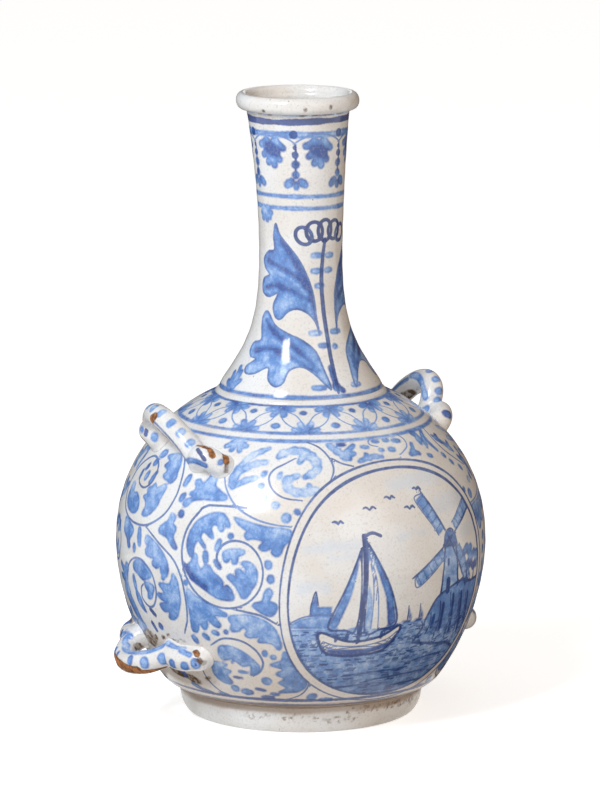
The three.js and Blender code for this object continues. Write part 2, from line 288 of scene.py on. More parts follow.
class Sheet:
    """A turned piece as a grid of rings and columns, with the paint's distances at each of its points"""

    def __init__(self, outline, columns, painted_from, painted_to):
        self.radius, self.height = outline.T
        self.arc = np.concatenate([[0], np.cumsum(np.hypot(*np.diff(outline, axis=0).T))])
        self.columns = columns
        self.pitch = 360 / columns
        self.rows = np.arange(painted_from, painted_to)
        shape = (len(outline), columns)
        self.layers = {name: np.full(shape, FAR) for name in REACHES}
        self.layers["wash_tone"] = np.full(shape, MIDDLE)
        self.layers["line_tone"] = np.full(shape, MIDDLE)
        self.layers["line_width"] = np.full(shape, 0.5)
        self.bound = None
        self.turn()

    def turn(self, centre=0, to=0, hand=1, stretch=1.0):
        """Later strokes meant for one azimuth go to another, mirrored with hand -1 and stretched round"""
        self.centre, self.to, self.hand, self.stretch = centre, to, hand, stretch

    def azimuth_of(self, azimuth):
        """The azimuth that a stroke meant for another one goes to"""
        return self.to + self.hand * self.stretch * (np.asarray(azimuth, float) - self.centre)

    def chart(self, places):
        """Places as (azimuth, height): their middle azimuth, and each in mm round and up from there"""
        places = np.atleast_2d(np.array(places, float))
        azimuth = self.azimuth_of(places[:, 0])
        middle = (azimuth.min() + azimuth.max()) / 2
        radius = np.interp(places[:, 1], self.height[self.rows], self.radius[self.rows])
        arc = np.interp(places[:, 1], self.height[self.rows], self.arc[self.rows])
        return middle, np.column_stack([radius * np.radians(azimuth - middle), arc])

    def around(self, place, offsets):
        """Offsets in mm round and up from one place, on its own chart"""
        middle, origin = self.chart([place])
        return middle, origin + np.array(offsets, float) * (self.hand * self.stretch, 1)

    def window(self, middle, path, margin):
        """The grid points near a path, and how far each is round and up from the chart's middle"""
        low = path.min(0) - margin
        high = path.max(0) + margin
        rows = self.rows[(self.arc[self.rows] > low[1]) & (self.arc[self.rows] < high[1])]
        if not len(rows):
            return None
        radius = self.radius[rows]
        ends = (np.degrees(np.array([low[0], high[0]]) / radius.min()) + middle + 180) / self.pitch
        turns = np.arange(math.floor(ends[0]), math.ceil(ends[1]) + 1)[:self.columns]
        u = radius[:, None] * np.radians(turns * self.pitch - 180 - middle)
        v = np.broadcast_to(self.arc[rows][:, None], u.shape)
        return np.ix_(rows, turns % self.columns), u, v

    def lay(self, layer, index, reach, tone):
        """Paint goes where it is nearer than what is there, and stays inside the bound"""
        if self.bound is not None:
            reach = np.maximum(reach, self.bound[index])
        held = self.layers[layer][index]
        nearer = reach < held
        self.layers[layer][index] = np.where(nearer, reach, held)
        if layer == "wash":
            self.layers["wash_tone"][index] = np.where(nearer, tone, self.layers["wash_tone"][index])

    def draw_line(self, index, near, side, half, tone):
        """A drawn line shows over one drawn before where it is nearer"""
        layers = self.layers
        inside = near - half < layers["line_near"][index] - layers["line_width"][index]
        if self.bound is not None:
            inside &= self.bound[index] < 0.3
        for name, value in (
                ("line_near", near), ("line_side", side), ("line_width", half), ("line_tone", tone)):
            layers[name][index] = np.where(inside, value, layers[name][index])

    def brush(self, layer, middle, path, halves, tone=MIDDLE, end_tone=None):
        """One stroke of a loaded brush along a path, twice as wide as its halves, its tone free to change"""
        found = self.window(middle, path, halves.max() + MARGIN)
        if found is None:
            return
        index, u, v = found
        reach, near, side, half, along = to_path(u, v, path, halves)
        tone = tone + ((tone if end_tone is None else end_tone) - tone) * along
        if layer == "line":
            self.draw_line(index, near, near * side, half, tone)
        elif layer == "tone":
            held = self.layers["wash_tone"][index]
            self.layers["wash_tone"][index] = held + (tone - held) * np.clip(0.5 - reach / 3, 0, 1)
        else:
            self.lay(layer, index, reach, tone)

    def fill(self, layer, middle, outline, tone=MIDDLE, high_tone=None, swell=0.0):
        """A wash that fills a closed outline and swells past it, in a tone that may change upwards"""
        found = self.window(middle, outline, MARGIN)
        if found is None:
            return
        index, u, v = found
        low, high = outline[:, 1].min(), outline[:, 1].max()
        share = np.clip((v - low) / (high - low + 1e-6), 0, 1)
        tone = tone + ((tone if high_tone is None else high_tone) - tone) * share
        self.lay(layer, index, to_outline(u, v, outline) - swell, tone)

    def wipe(self, middle, outline):
        """Paint inside an outline is wiped off again, down to the white glaze"""
        index, u, v = self.window(middle, outline, 1)
        clear = -to_outline(u, v, outline)
        for layer in ("wash", "deep", "mist"):
            self.layers[layer][index] = np.maximum(self.layers[layer][index], clear)
        near = self.layers["line_near"][index]
        self.layers["line_near"][index] = np.where(clear > 0, FAR, near)

    def ring(self, layer, height, half, tone=MIDDLE, sway=0.2, start=0.0):
        """A line painted round on the wheel, swaying a little and of uneven width"""
        arc = np.interp(height, self.height[self.rows], self.arc[self.rows])
        angles = np.radians(np.arange(self.columns) * self.pitch + start)
        offset = self.arc[self.rows][:, None] - arc - sway * (np.sin(angles) + 0.5 * np.sin(3 * angles + 1))
        index = np.ix_(self.rows, np.arange(self.columns))
        uneven = 1 + 0.12 * np.sin(5 * angles + 2) + 0.08 * np.sin(11 * angles)
        width = np.broadcast_to(half * uneven, offset.shape)
        if layer == "line":
            self.draw_line(index, np.abs(offset), offset, width, tone)
        else:
            self.lay(layer, index, np.abs(offset) - width, tone)


def to_path(u, v, path, halves):
    """From each point to a path: how far past its edge and from its middle, its side, half width and share"""
    start = path[:-1]
    step = np.diff(path, axis=0)
    squared = (step ** 2).sum(1) + 1e-9
    du = u[..., None] - start[:, 0]
    dv = v[..., None] - start[:, 1]
    share = np.clip((du * step[:, 0] + dv * step[:, 1]) / squared, 0, 1)
    off_u = du - share * step[:, 0]
    off_v = dv - share * step[:, 1]
    near = np.hypot(off_u, off_v)
    half = halves[:-1] + share * np.diff(halves)
    best = (near - half).argmin(-1)[..., None]
    side = np.sign(step[:, 0] * off_v - step[:, 1] * off_u)
    along = (np.arange(len(start)) + share) / len(start)
    return [np.take_along_axis(values, best, -1)[..., 0] for values in (near - half, near, side, half, along)]


def to_outline(u, v, outline):
    """From each point to a closed outline, below zero inside it"""
    closed = np.vstack([outline, outline[:1]])
    near = to_path(u, v, closed, np.zeros(len(closed)))[1]
    start = closed[:-1]
    step = np.diff(closed, axis=0)
    above = start[:, 1] > v[..., None]
    crosses = above != (start[:, 1] + step[:, 1] > v[..., None])
    rise = np.where(np.abs(step[:, 1]) < 1e-9, 1e-9, step[:, 1])
    at = start[:, 0] + (v[..., None] - start[:, 1]) * step[:, 0] / rise
    inside = (crosses & (u[..., None] < at)).sum(-1) % 2 == 1
    return np.where(inside, -near, near)


# The painter's strokes


def line(sheet, places, tone=STRONG, half=0.68):
    """A drawn line through places, lifted off at both ends"""
    middle, path = sheet.chart(smooth(places))
    share = np.linspace(0, 1, len(path))
    sheet.brush("line", middle, path, half * (0.7 + 0.4 * np.sin(np.pi * share) ** 0.5), tone)


def dab(sheet, place, length, half, heading, tone=MIDDLE, layer="wash"):
    """One touch of the brush, fuller in the middle and darker where it lifts"""
    turn = math.radians(heading)
    reach = max(0.1, length / 2 - half)
    share = np.array([-1, 0, 1])[:, None]
    middle, path = sheet.around(place, share * (reach * math.cos(turn), reach * math.sin(turn)))
    sheet.brush(layer, middle, path, half * np.array([0.85, 1, 0.8]), tone - 0.06, tone + 0.12)


def dabs(sheet, touches, layer="wash"):
    """Many touches of the brush, each as azimuth, height, length, half width, heading and maybe a tone"""
    for azimuth, height, *touch in touches:
        dab(sheet, (azimuth, height), *touch, layer=layer)


def polar(radii, start, end, steps=14):
    """Offsets on an arc or spiral round a place, between two angles in degrees"""
    angles = np.radians(np.linspace(start, end, steps))
    radii = np.interp(np.linspace(0, 1, steps), np.linspace(0, 1, len(radii)), radii)
    return np.column_stack([radii * np.cos(angles), radii * np.sin(angles)])


def spiral(sheet, place, start, sweep, radii, lead=(), tone=STRONG, half=0.68):
    """A scroll's stem, winding in from its outer radius"""
    steps = max(12, int(abs(sweep) / 12))
    offsets = np.vstack([np.array(lead, float).reshape(-1, 2), polar(radii, start, start + sweep, steps)])
    middle, path = sheet.around(place, smooth(offsets, 2))
    share = np.linspace(0, 1, len(path))
    sheet.brush("line", middle, path, half * (1 + 0.15 * np.sin(9 * share)), tone)


def leaf(sheet, spine, tips=(), half=3.4, tone=0.42):
    """A leaf of one loaded brush: a broad body along its spine, scalloped, and fat fingers to its tips"""
    middle, places = sheet.chart([*spine, *tips])
    path = smooth(places[:len(spine)])
    along = np.append(0, np.cumsum(np.hypot(*np.diff(path, axis=0).T)))
    body = half * np.interp(along / along[-1], [0, 0.25, 0.8, 1], [0.65, 1.1, 1.05, 0.7])
    body = body + 0.13 * half * np.sin(along * 2 * np.pi / 5.2)
    sheet.brush("wash", middle, path, body, tone + 0.1, tone - 0.04)
    for tip in places[len(spine):]:
        root = path[np.hypot(*(path - tip).T).argmin()]
        way = tip - root
        length = math.hypot(*way)
        thick = min(2.7, 1.0 + 0.42 * half)
        end = tip - way * min(0.6, 0.8 * thick / length)
        finger = np.array([root, (root + end) / 2, end])
        sheet.brush("wash", middle, finger, thick * np.array([1.5, 1.02, 0.85]), tone, tone + 0.22)


def blot(sheet, outline, tone=MIDDLE):
    """A leaf in one wash, darker low down where the wash ran together. It swells past its outline, so that
    its tips are round and the cuts between them narrow"""
    middle, path = sheet.chart(closed(outline))
    sheet.fill("wash", middle, path, tone + 0.16, tone - 0.1, LEAF_SWELL)


def daisy(sheet, azimuth, height, way, petals, length, half, tone):
    """Half a daisy that grows up or down from a ring: petals spread from one point"""
    for petal in range(petals):
        turn = math.radians(way * (180 * (petal + 0.5) / petals))
        size = length * (0.8 + 0.2 * abs(math.sin(turn)))
        middle, path = sheet.around((azimuth, height), [
            (size * share * math.cos(turn), size * share * math.sin(turn)) for share in (0.2, 0.6, 0.85)])
        sheet.brush("wash", middle, path, half * np.array([0.55, 1, 0.92]), tone + 0.2, tone - 0.14)


def mirrored(places):
    """Places on the other side of the piece's middle"""
    return [(-azimuth, height) for azimuth, height in places]


# Neck


def paint_neck(sheet):
    """Swags and tassels under the lip, double lines, and a flowering plant on front and back"""
    sheet.ring("deep", 346.3, 1.9, sway=0.3, start=200)
    sheet.ring("wash", 350.0, 0.5, PALE, sway=0.2)
    for azimuth, length in ((-80, 5), (-67, 4), (-30, 7), (-8, 12), (4, 6), (20, 8), (75, 6), (160, 9)):
        dab(sheet, (azimuth, 350.8), length, 1.0, 0, layer="grime_and_shade")
    sheet.ring("wash", 338.7, 1.9, LIGHT + 0.12, sway=0.2)
    for height in (303.0, 296.1):
        sheet.ring("wash", height, 1.2, LIGHT + 0.12, sway=0.15)
    sheet.ring("wash", 191.0, 1.2, MIDDLE + 0.05, sway=0.15)
    for tassel in range(6):
        sheet.turn(0, -39 + 60 * tassel)
        swag = [(-1, 333.6), (7, 336.2), (18, 338.6), (30, 339.3), (42, 338.4), (53, 336.2), (61, 333.6)]
        line(sheet, swag, MIDDLE, 0.55)
        dab(sheet, (-1, 339), 5.2, 2.5, 0, DARK, "deep")
        dab(sheet, (0, 331.5), 3.4, 1.3, 90, DARK, "deep")
        line(sheet, [(0, 334), (1, 329), (0, 321), (0, 315)], DARK, 0.6)
        dab(sheet, (0, 327.2), 4.4, 2.1, 0, DARK, "deep")
        dab(sheet, (0, 321.7), 5.4, 2.5, 0, STRONG)
        dab(sheet, (0, 315.8), 6, 2.3, 90, STRONG)
        for azimuth, low, length, half, heading in (
                (-8.5, 311, 8.5, 2.7, 40), (8.5, 311, 8.5, 2.7, 140), (0, 309.5, 6.5, 2.0, 90)):
            dab(sheet, (azimuth, low), length, half, heading, MIDDLE + 0.08)
        leaf(sheet, [(23, 333.5), (30, 328.5), (36, 333.5)],
             [(9, 332), (13, 325.5), (22, 320.5), (33, 319), (43, 323), (49, 330)], 4.4, MIDDLE - 0.05)
        dab(sheet, (31, 329.5), 13, 3.8, -20, DARK + 0.2, "tone")
    for plant, stretch in ((0, 1), (180, 0.58)):
        sheet.turn(0, plant, 1, stretch)
        paint_plant(sheet)
    for side in (-90, 90):
        sheet.turn(0, side)
        leaf(sheet, [(6, 294.5), (-2, 294.5)], [(-9, 291), (-4, 287.5), (4, 287), (11, 288.5), (16, 292)],
             2.6, LIGHT)
        leaf(sheet, [(-7, 193), (-3, 194)], [(-16, 196), (-13, 201.5), (-7, 205), (-2, 203), (4, 198)],
             2.6, LIGHT + 0.1)
    sheet.turn()


# Outlines of the plant's two leaves on the left, in azimuth and height
PLANT_UPPER = [(-12, 224), (-14, 233), (-17, 246), (-25, 257), (-37, 267), (-52, 275), (-64, 281), (-70, 287),
               (-74, 280), (-73, 272), (-84, 270.5), (-94, 266), (-92, 261), (-82, 257), (-93, 254.5),
               (-97, 250), (-93, 246), (-80, 244.5), (-66, 247), (-72, 240), (-68, 234), (-60, 232.5),
               (-50, 237), (-38, 238.5), (-25, 236), (-16, 231)]
PLANT_LOWER = [(-11, 195), (-14, 206), (-19, 215), (-32, 221), (-50, 225), (-66, 229), (-80, 236), (-88, 233),
               (-86, 226), (-82, 220), (-92, 218), (-95, 214), (-90, 210.5), (-81, 209.5), (-89, 205),
               (-86, 201.5), (-76, 202), (-64, 206), (-61, 200), (-54, 196.5), (-48, 198.5), (-44, 205),
               (-33, 207), (-22, 203)]


def closed(places):
    """A smooth closed outline through places"""
    around = [*places[-2:], *places, *places[:2]]
    return smooth(around)[12:-6]


def paint_plant(sheet):
    """A stem with paired dashes, a flower of ringed petals and two big lobed leaves on each side"""
    for azimuth, height, length in ((-11, 269, 9), (9, 268.5, 7.5), (-11, 260, 9), (7, 260, 7),
                                    (-8, 251.5, 7), (-17, 225, 9), (10, 225, 9), (-9, 218, 8), (4, 217, 5),
                                    (-20, 196, 10), (12, 196, 9)):
        dab(sheet, (azimuth, height), length, 1.9, 0, LIGHT + 0.1)
    stem = [(1, 278), (-3, 266), (-5, 254), (-4, 238), (-3, 223), (-4, 213), (-5, 203), (-6, 193)]
    line(sheet, stem, DARK, 1.3)
    leaf(sheet, [(-7, 206), (-6, 196)], [(0, 193)], 2.6, MIDDLE + 0.2)
    petals = ((1, 283.3, 0, 4.6, 6.0), (-15, 282.8, 14, 5.0, 5.6), (-30, 280.5, 40, 4.4, 5.4),
              (17, 283, -10, 4.6, 5.4), (31, 280.8, -38, 4.2, 5.0))
    for azimuth, height, tilt, wide, tall in petals:
        turn = math.radians(tilt)
        oval = polar((1, 1), 0, 360, 25) * (wide, tall)
        turned = oval @ np.array([[math.cos(turn), math.sin(turn)], [-math.sin(turn), math.cos(turn)]])
        middle, path = sheet.around((azimuth, height), turned)
        sheet.brush("line", middle, path, np.full(len(path), 1.1), 1.3 if abs(azimuth) < 20 else DARK)
    dab(sheet, (0, 277), 4, 1.6, 90, DARK, "deep")
    for side in (-1, 1):
        for outline, low in ((PLANT_UPPER, MIDDLE - 0.12), (PLANT_LOWER, MIDDLE - 0.2)):
            middle, path = sheet.chart(closed(outline if side < 0 else mirrored(outline)))
            sheet.fill("wash", middle, path, low, low + 0.3)
            sheet.brush("line", middle, path, np.full(len(path), 0.5), STRONG)
        veins = ([(14, 228), (20, 246), (40, 264), (60, 277)], [(20, 247), (40, 257), (66, 262), (84, 265)],
                 [(20, 243), (42, 248), (66, 251), (86, 250)], [(18, 205), (36, 215), (60, 223), (80, 231)],
                 [(20, 204), (44, 212), (66, 216), (84, 214)])
        for vein in veins:
            places = [(side * azimuth, height) for azimuth, height in vein]
            middle, path = sheet.chart(smooth(places))
            widths = np.interp(np.linspace(0, 1, len(path)), [0, 0.5, 1], [0.4, 1.6, 0.8])
            sheet.brush("tone", middle, path, widths, DARK, DARK + 0.25)


# Collar on the shoulder


def paint_collar(sheet):
    """Half daisies from the ring above and the ring below, joined by crossing arcs"""
    top, bottom = 186.6, 174.8
    sheet.ring("wash", top, 1.1, MIDDLE + 0.1, sway=0.1)
    sheet.ring("wash", bottom, 1.0, MIDDLE - 0.05, sway=0.2)
    sheet.ring("wash", 171.2, 1.15, MIDDLE - 0.12, sway=0.2)
    for number in range(12):
        upper = -46.5 + 30 * number
        lower = upper + 15
        daisy(sheet, upper, top - 0.3, -1, 4, 9.8, 2.35, MIDDLE - 0.02)
        daisy(sheet, lower, bottom + 0.3, 1, 4, 9.4, 2.3, MIDDLE - 0.08)
        dab(sheet, (lower - 1, top - 2.6), 5.4, 2.1, 0, STRONG - 0.1)
        dab(sheet, (upper, bottom + 3.4), 6.6, 2.5, 0, MIDDLE)
        for side in (-1, 1):
            foot = lower if side > 0 else lower - 30
            line(sheet, [(upper + side * 1.5, 184.5), (upper + side * 2.5, 181.5),
                         (upper + side * 6.5, 178.6), (foot - side * 2, 176)], MIDDLE - 0.1, 0.42)
            line(sheet, [(upper + side * 2.5, 184.8), (upper + side * 9.5, 183), (upper + side * 13, 180),
                         (foot + side * 0.5, 176.4)], MIDDLE - 0.1, 0.42)


# Body: the scrolls between the shoulder and the foot


# Leaves of one group of scrolls, each as its tone and its outline in azimuth and height
SCROLL_LEAVES = [
    # Inside the big scroll
    (0.46, [(-59.5, 133.2), (-57.8, 130.8), (-56.6, 127), (-57.4, 126.2), (-58.8, 128.6), (-58.7, 124.6),
            (-59.8, 124), (-61.2, 127), (-63, 125.5), (-61.9, 120), (-63, 119.8), (-65.4, 122.6),
            (-66.3, 119), (-64.4, 114.4), (-65.2, 114), (-67.4, 117.3), (-68.6, 112.5), (-68.6, 108.6),
            (-69.8, 107.8), (-71, 112), (-71.2, 117), (-70.2, 122.5), (-68.4, 127.5), (-65.5, 131),
            (-62.3, 133.2)]),
    (0.5, [(-72.6, 103.4), (-71, 98.5), (-69.3, 94.5), (-66.5, 91.5), (-63.5, 88.3), (-60.5, 85.6),
           (-57.5, 84.6), (-55.2, 85.3), (-54.8, 87.5), (-55.8, 91.5), (-57.2, 93.4), (-58.6, 90.6),
           (-58.2, 94.6), (-59.5, 97.8), (-61.5, 100.5), (-62.8, 103.6), (-64.4, 103.8), (-65.6, 100.8),
           (-67, 104), (-67.3, 108.8), (-68.4, 109), (-69.6, 104.5), (-71, 102.6)]),
    (0.46, [(-52.2, 107), (-50.2, 107.9), (-48.2, 105.8), (-47.2, 101.5), (-47.7, 96), (-49.2, 91.5),
            (-50.7, 87.4), (-52.3, 87.2), (-53.6, 92), (-55.2, 95.5), (-56.8, 98.2), (-55.8, 100),
            (-53.8, 98.6), (-54, 102.4), (-52.6, 103.3), (-51, 100.8), (-50.9, 104)]),
    (0.44, [(-58.3, 111.5), (-57, 113.6), (-54, 114.6), (-51.5, 114), (-51.6, 112.2), (-53.2, 110.8),
            (-53.6, 107), (-54.8, 106.2), (-55.5, 109.5), (-56.8, 107), (-57.9, 107.6)]),
    # Round the big scroll
    (0.44, [(-55.3, 131.6), (-51.5, 130.2), (-47.8, 128.6), (-43.4, 127.3), (-39.5, 127), (-37, 125.4),
            (-37.4, 121), (-39.2, 117.4), (-40.2, 113), (-41.4, 111.7), (-42.8, 113.4), (-42.6, 116.4),
            (-45, 114.6), (-46.8, 116.2), (-45.6, 119.6), (-48.5, 121), (-50.6, 120.4), (-51.5, 122.8),
            (-50.9, 125), (-53.2, 127.6)]),
    (0.52, [(-79.3, 129.4), (-77.3, 127.6), (-77.8, 124.3), (-76.3, 121.8), (-77.2, 117), (-76.2, 114),
            (-75.2, 111), (-76.4, 110.4), (-78.4, 113.4), (-80, 116), (-83.4, 117.6), (-83.7, 120.2),
            (-81.6, 123.4), (-80.2, 125.2)]),
    (0.4, [(-73.8, 141.6), (-72.2, 143.4), (-71.9, 145.6), (-73, 148.4), (-71.3, 149.4), (-69.3, 147.4),
           (-68.3, 149.6), (-66.8, 152.6), (-64.6, 152), (-64.4, 147.5), (-62, 145), (-59.2, 142.4),
           (-59.6, 140.6), (-64, 139.8), (-68, 139.6), (-71.8, 138), (-73.6, 134.8), (-75.3, 135.2),
           (-74.6, 138), (-72.5, 140)]),
    (0.42, [(-43.7, 93), (-42.6, 90.4), (-43.6, 86), (-41.6, 84.2), (-41.4, 81), (-42.8, 77.2), (-45, 77.4),
            (-48.8, 82.2), (-47.8, 84.4), (-45.8, 85.6), (-45, 90.6)]),
    # Inside the round scroll behind the upper loop
    (0.4, [(-92.8, 157.4), (-89.5, 159), (-86, 159.6), (-83.4, 155.5), (-82.9, 151.5), (-82.4, 147.5),
           (-84, 144.8), (-86.2, 145.6), (-88, 146.2), (-89.6, 147.9), (-88.6, 150.6), (-91.6, 152.6),
           (-90, 155)]),
    (0.4, [(-92, 142.5), (-90, 140.6), (-86.6, 143.4), (-85.3, 141.8), (-86.3, 136.5), (-87, 132),
           (-89, 127.6), (-92, 124.4), (-94.6, 125), (-93.6, 129), (-94.2, 132), (-96.4, 134.2), (-94.6, 136),
           (-95.3, 139), (-93.4, 140.4)]),
    (0.44, [(-108.4, 138.5), (-106, 138), (-104.6, 133.6), (-101.8, 134.4), (-98.8, 131.4), (-98, 126),
            (-101, 123.4), (-105.8, 125), (-108.9, 129), (-108.8, 134)]),
    # Along the stem that falls on the left, and in the scroll at its end
    (0.5, [(-106, 119), (-102, 118), (-98.4, 114.6), (-99, 111.5), (-100.6, 108), (-100.2, 104),
           (-102, 103.6), (-103, 108), (-106, 112)]),
    (0.46, [(-90, 114), (-87.4, 113.4), (-84, 110.6), (-81.2, 106.8), (-79.2, 102), (-78.6, 97.5),
            (-79.6, 93.6), (-81, 93), (-82.2, 95.4), (-82, 98.6), (-84.2, 97), (-86, 98.2), (-86, 100.4),
            (-84.6, 102.6), (-87.2, 102.4), (-89.6, 103.4), (-89.8, 106), (-88.4, 108.6), (-90.2, 110)]),
    (0.46, [(-76.8, 95.6), (-75.2, 92.5), (-74.7, 88), (-74.4, 82), (-75.3, 76), (-76.6, 71), (-78.8, 68),
            (-80.8, 68.6), (-80.2, 72.2), (-82.8, 72), (-84.2, 75), (-83.4, 76.4), (-81, 77.6), (-83.4, 79),
            (-84.8, 81.2), (-83.6, 82.4), (-80.8, 82.4), (-82.2, 85.2), (-83.4, 88), (-81.6, 88.8),
            (-78.8, 89), (-77.6, 91.6)]),
    (0.5, [(-97.6, 95), (-95.5, 98), (-91.5, 99), (-88.4, 95), (-87.3, 91), (-89, 89.4), (-92, 87.6),
           (-94.6, 89.6), (-97.6, 92)]),
    (0.52, [(-91, 86.4), (-88, 86.8), (-86.1, 85), (-87.2, 81), (-88.2, 78), (-90.2, 77.4), (-90, 81),
            (-91, 84)]),
    (0.5, [(-98, 79), (-95.6, 77), (-94.3, 71), (-93.4, 67.5), (-95.6, 69), (-97.8, 73)]),
    (0.54, [(-108, 81), (-105, 78), (-102, 71), (-99.5, 64), (-98, 58), (-101, 59.5), (-105, 65),
            (-108.5, 73)]),
    # Low down, between the stems and in the low scroll
    (0.44, [(-71.2, 88.4), (-68.5, 85.4), (-64, 81.4), (-60, 78.4), (-57.6, 76.4), (-58, 74.8), (-62, 74.6),
            (-60.3, 70), (-60.8, 67.6), (-62.6, 68.4), (-64.6, 71.6), (-65.2, 67), (-66.6, 65.4),
            (-68.2, 68.6), (-69, 64), (-70.4, 62.8), (-71.4, 64.6), (-71.2, 74), (-71.6, 82)]),
    (0.42, [(-56.8, 75), (-53.8, 76.2), (-50, 76.6), (-46.8, 75), (-43.8, 72), (-41.8, 67.6), (-40.7, 62.5),
            (-40.4, 58), (-41.5, 56.3), (-42.9, 59.5), (-45, 60.4), (-47.9, 60.8), (-47, 64), (-50.4, 63),
            (-52, 64.6), (-51.2, 67.4), (-52.6, 69), (-54, 66.8), (-56.2, 66), (-56.8, 68), (-56.2, 70.4),
            (-57, 72.6)]),
    (0.44, [(-62.6, 53.4), (-61.2, 56.2), (-57.6, 56.4), (-54, 54), (-51.2, 50.6), (-49, 46.4), (-48.4, 43),
            (-50, 40), (-52, 39), (-51.6, 42), (-51.6, 45.4), (-54.4, 44.6), (-57, 47.4), (-58.4, 46),
            (-57.8, 49), (-60.8, 47.4), (-62.4, 49)]),
    (0.4, [(-66.4, 45), (-63.4, 45.4), (-60.6, 44.4), (-62.2, 42.2), (-59.6, 40.4), (-61.6, 37.4),
           (-60.2, 33.6), (-61.4, 31.6), (-64.6, 32.6), (-66.8, 36.5), (-67, 41)]),
    (0.48, [(-39.4, 55), (-37, 51.6), (-34.8, 46.6), (-33.4, 41.6), (-31.8, 37), (-32.2, 32.6), (-34.4, 29.6),
            (-37.2, 28.6), (-42.4, 28.4), (-39.2, 31.4), (-42, 34.6), (-39.8, 37.6), (-42.8, 40.6),
            (-40.2, 43.6), (-44.4, 46.2), (-42, 48.2), (-40.4, 49.4)]),
]


def paint_scrolls(sheet):
    """One group of scrolls, as seen to the left of the panel"""
    for tone, outline in SCROLL_LEAVES:
        blot(sheet, outline, tone)
    big = (-56, 105.5)
    spiral(sheet, big, 116, 441, (36, 6), lead=[(7.5, 32.8)])
    middle, path = sheet.chart([(-72.2, 102.5), (-70, 98), (-67.2, 94), (-64.4, 91)])
    sheet.brush("tone", middle, smooth(path), np.full(19, 1.6), DARK + 0.2)
    # The stems that leave the big scroll for the panel and for the scroll above
    line(sheet, [(-57, 80), (-51, 78.5), (-46, 76.5), (-41, 71.5)])
    line(sheet, [(-62, 153), (-60, 146.5), (-55.5, 138), (-49, 132), (-43, 129.2), (-37, 128)], MIDDLE, 0.55)
    # Pale leaves of the scroll above, paler partly as a painted highlight where the glaze shines, and a leaf
    # behind the upper loop's end
    leaf(sheet, [(-57.8, 147.5), (-58.4, 151), (-57.5, 155), (-57, 158)], [], 2.7, 0.28)
    leaf(sheet, [(-57, 157), (-56, 160), (-52.5, 164.5), (-47, 167.6)], [], 2.0, 0.12)
    leaf(sheet, [(-57, 154.5), (-53.5, 158.5), (-50, 160.4), (-47, 161)], [], 2.1, 0.16)
    leaf(sheet, [(-57, 148.5), (-54, 151), (-50, 153)], [], 2.0, 0.24)
    leaf(sheet, [(-62.5, 169.5), (-60.5, 169.5)], [(-67, 166.5), (-63, 164.5), (-59, 164.5), (-56, 167.5)],
         2.6, 0.25)
    dabs(sheet, [
        (-56, 121.5, 4.6, 2.1, 0, MIDDLE), (-60, 116, 9, 2.1, 75, MIDDLE), (-64.2, 108.6, 9, 2.3, 92, MIDDLE),
        (-60, 105, 8, 2.0, -50, MIDDLE), (-43.8, 106.8, 6.8, 2.5, 110, MIDDLE),
        (-43.1, 98.8, 6.8, 2.5, 95, MIDDLE), (-76.6, 148, 9.5, 2.2, 75, MIDDLE),
        (-76.4, 139, 7.5, 2.2, 65, MIDDLE), (-75.2, 130.2, 5.2, 2.6, 40, STRONG),
        # The palest dabs here, tones 0.05 to 0.15, are partly a painted highlight where the glaze shines
        (-47.2, 155.2, 5.6, 1.9, 60, 0.35), (-47.7, 149, 4.8, 2.2, 90, 0.35), (-51.5, 144, 5, 2.2, 0, 0.05),
        (-46.4, 143, 5.4, 2.4, 0, 0.1), (-42.2, 139.4, 6, 2.4, 0, 0.15), (-38.6, 132.8, 6.5, 3.1, 30, 0.3),
        (-35, 136, 5.4, 1.9, -30, MIDDLE), (-58.6, 65.3, 4.2, 1.8, 10, MIDDLE),
        (-62.4, 64, 6.4, 1.9, -15, MIDDLE), (-66.3, 60.8, 7, 2.1, -40, MIDDLE),
        (-71, 58, 7.5, 2.2, -60, MIDDLE), (-46, 53.6, 6, 2, 90, 0.4), (-43.2, 51.4, 4, 2, 0, MIDDLE),
        (-46.5, 35.6, 7, 3.2, 90, 0.36), (-86.5, 61.5, 6, 2.3, 110, STRONG), (-97, 104.6, 7, 2.2, 90, STRONG),
        (-94, 112, 13, 2.7, 98, MIDDLE), (-54.8, 40.6, 7, 1.4, -5, MIDDLE), (-57.2, 36.6, 7, 1.2, -5, STRONG),
        (-98, 84, 11, 2.4, 95, MIDDLE), (-104.6, 144.3, 8, 1.7, 85, MIDDLE),
        (-99.7, 144.8, 8, 2.4, 70, MIDDLE), (-102.4, 149, 6.5, 1.9, 70, STRONG),
        (-98.4, 152.6, 7, 2.7, 60, MIDDLE), (-95, 145, 11, 1.9, 68, MIDDLE),
        (-96.5, 157.6, 9, 3.2, 30, MIDDLE), (-81.2, 92, 4, 1.8, -40, MIDDLE),
        (-71.6, 92, 4.6, 1.9, 60, MIDDLE)])
    for azimuth, height, heading in ((-89.2, 69, -35), (-90.6, 60, -60)):
        dab(sheet, (azimuth, height), 8.5, 1.8, heading, DARK, "deep")
    # The scroll behind the upper loop, and the one below it
    line(sheet, [(-87, 164), (-82, 157), (-79.5, 148), (-79.5, 138), (-83, 127.5), (-91, 119.5), (-101, 119),
                 (-108.5, 124), (-112, 133), (-111.5, 143), (-107.5, 151), (-101.5, 155), (-95.5, 151.5),
                 (-94, 144), (-98, 138.5), (-103.5, 140), (-105, 145)])
    line(sheet, [(-91, 119), (-84, 112.5), (-76.5, 104), (-73.2, 93.5), (-72.2, 81), (-72.7, 70), (-75, 61)])
    line(sheet, [(-104, 84), (-101.5, 93), (-97, 98.5), (-92, 99), (-87, 93.5), (-85.2, 84), (-87, 75),
                 (-90.5, 72), (-94, 76), (-93.8, 82), (-92, 85)])
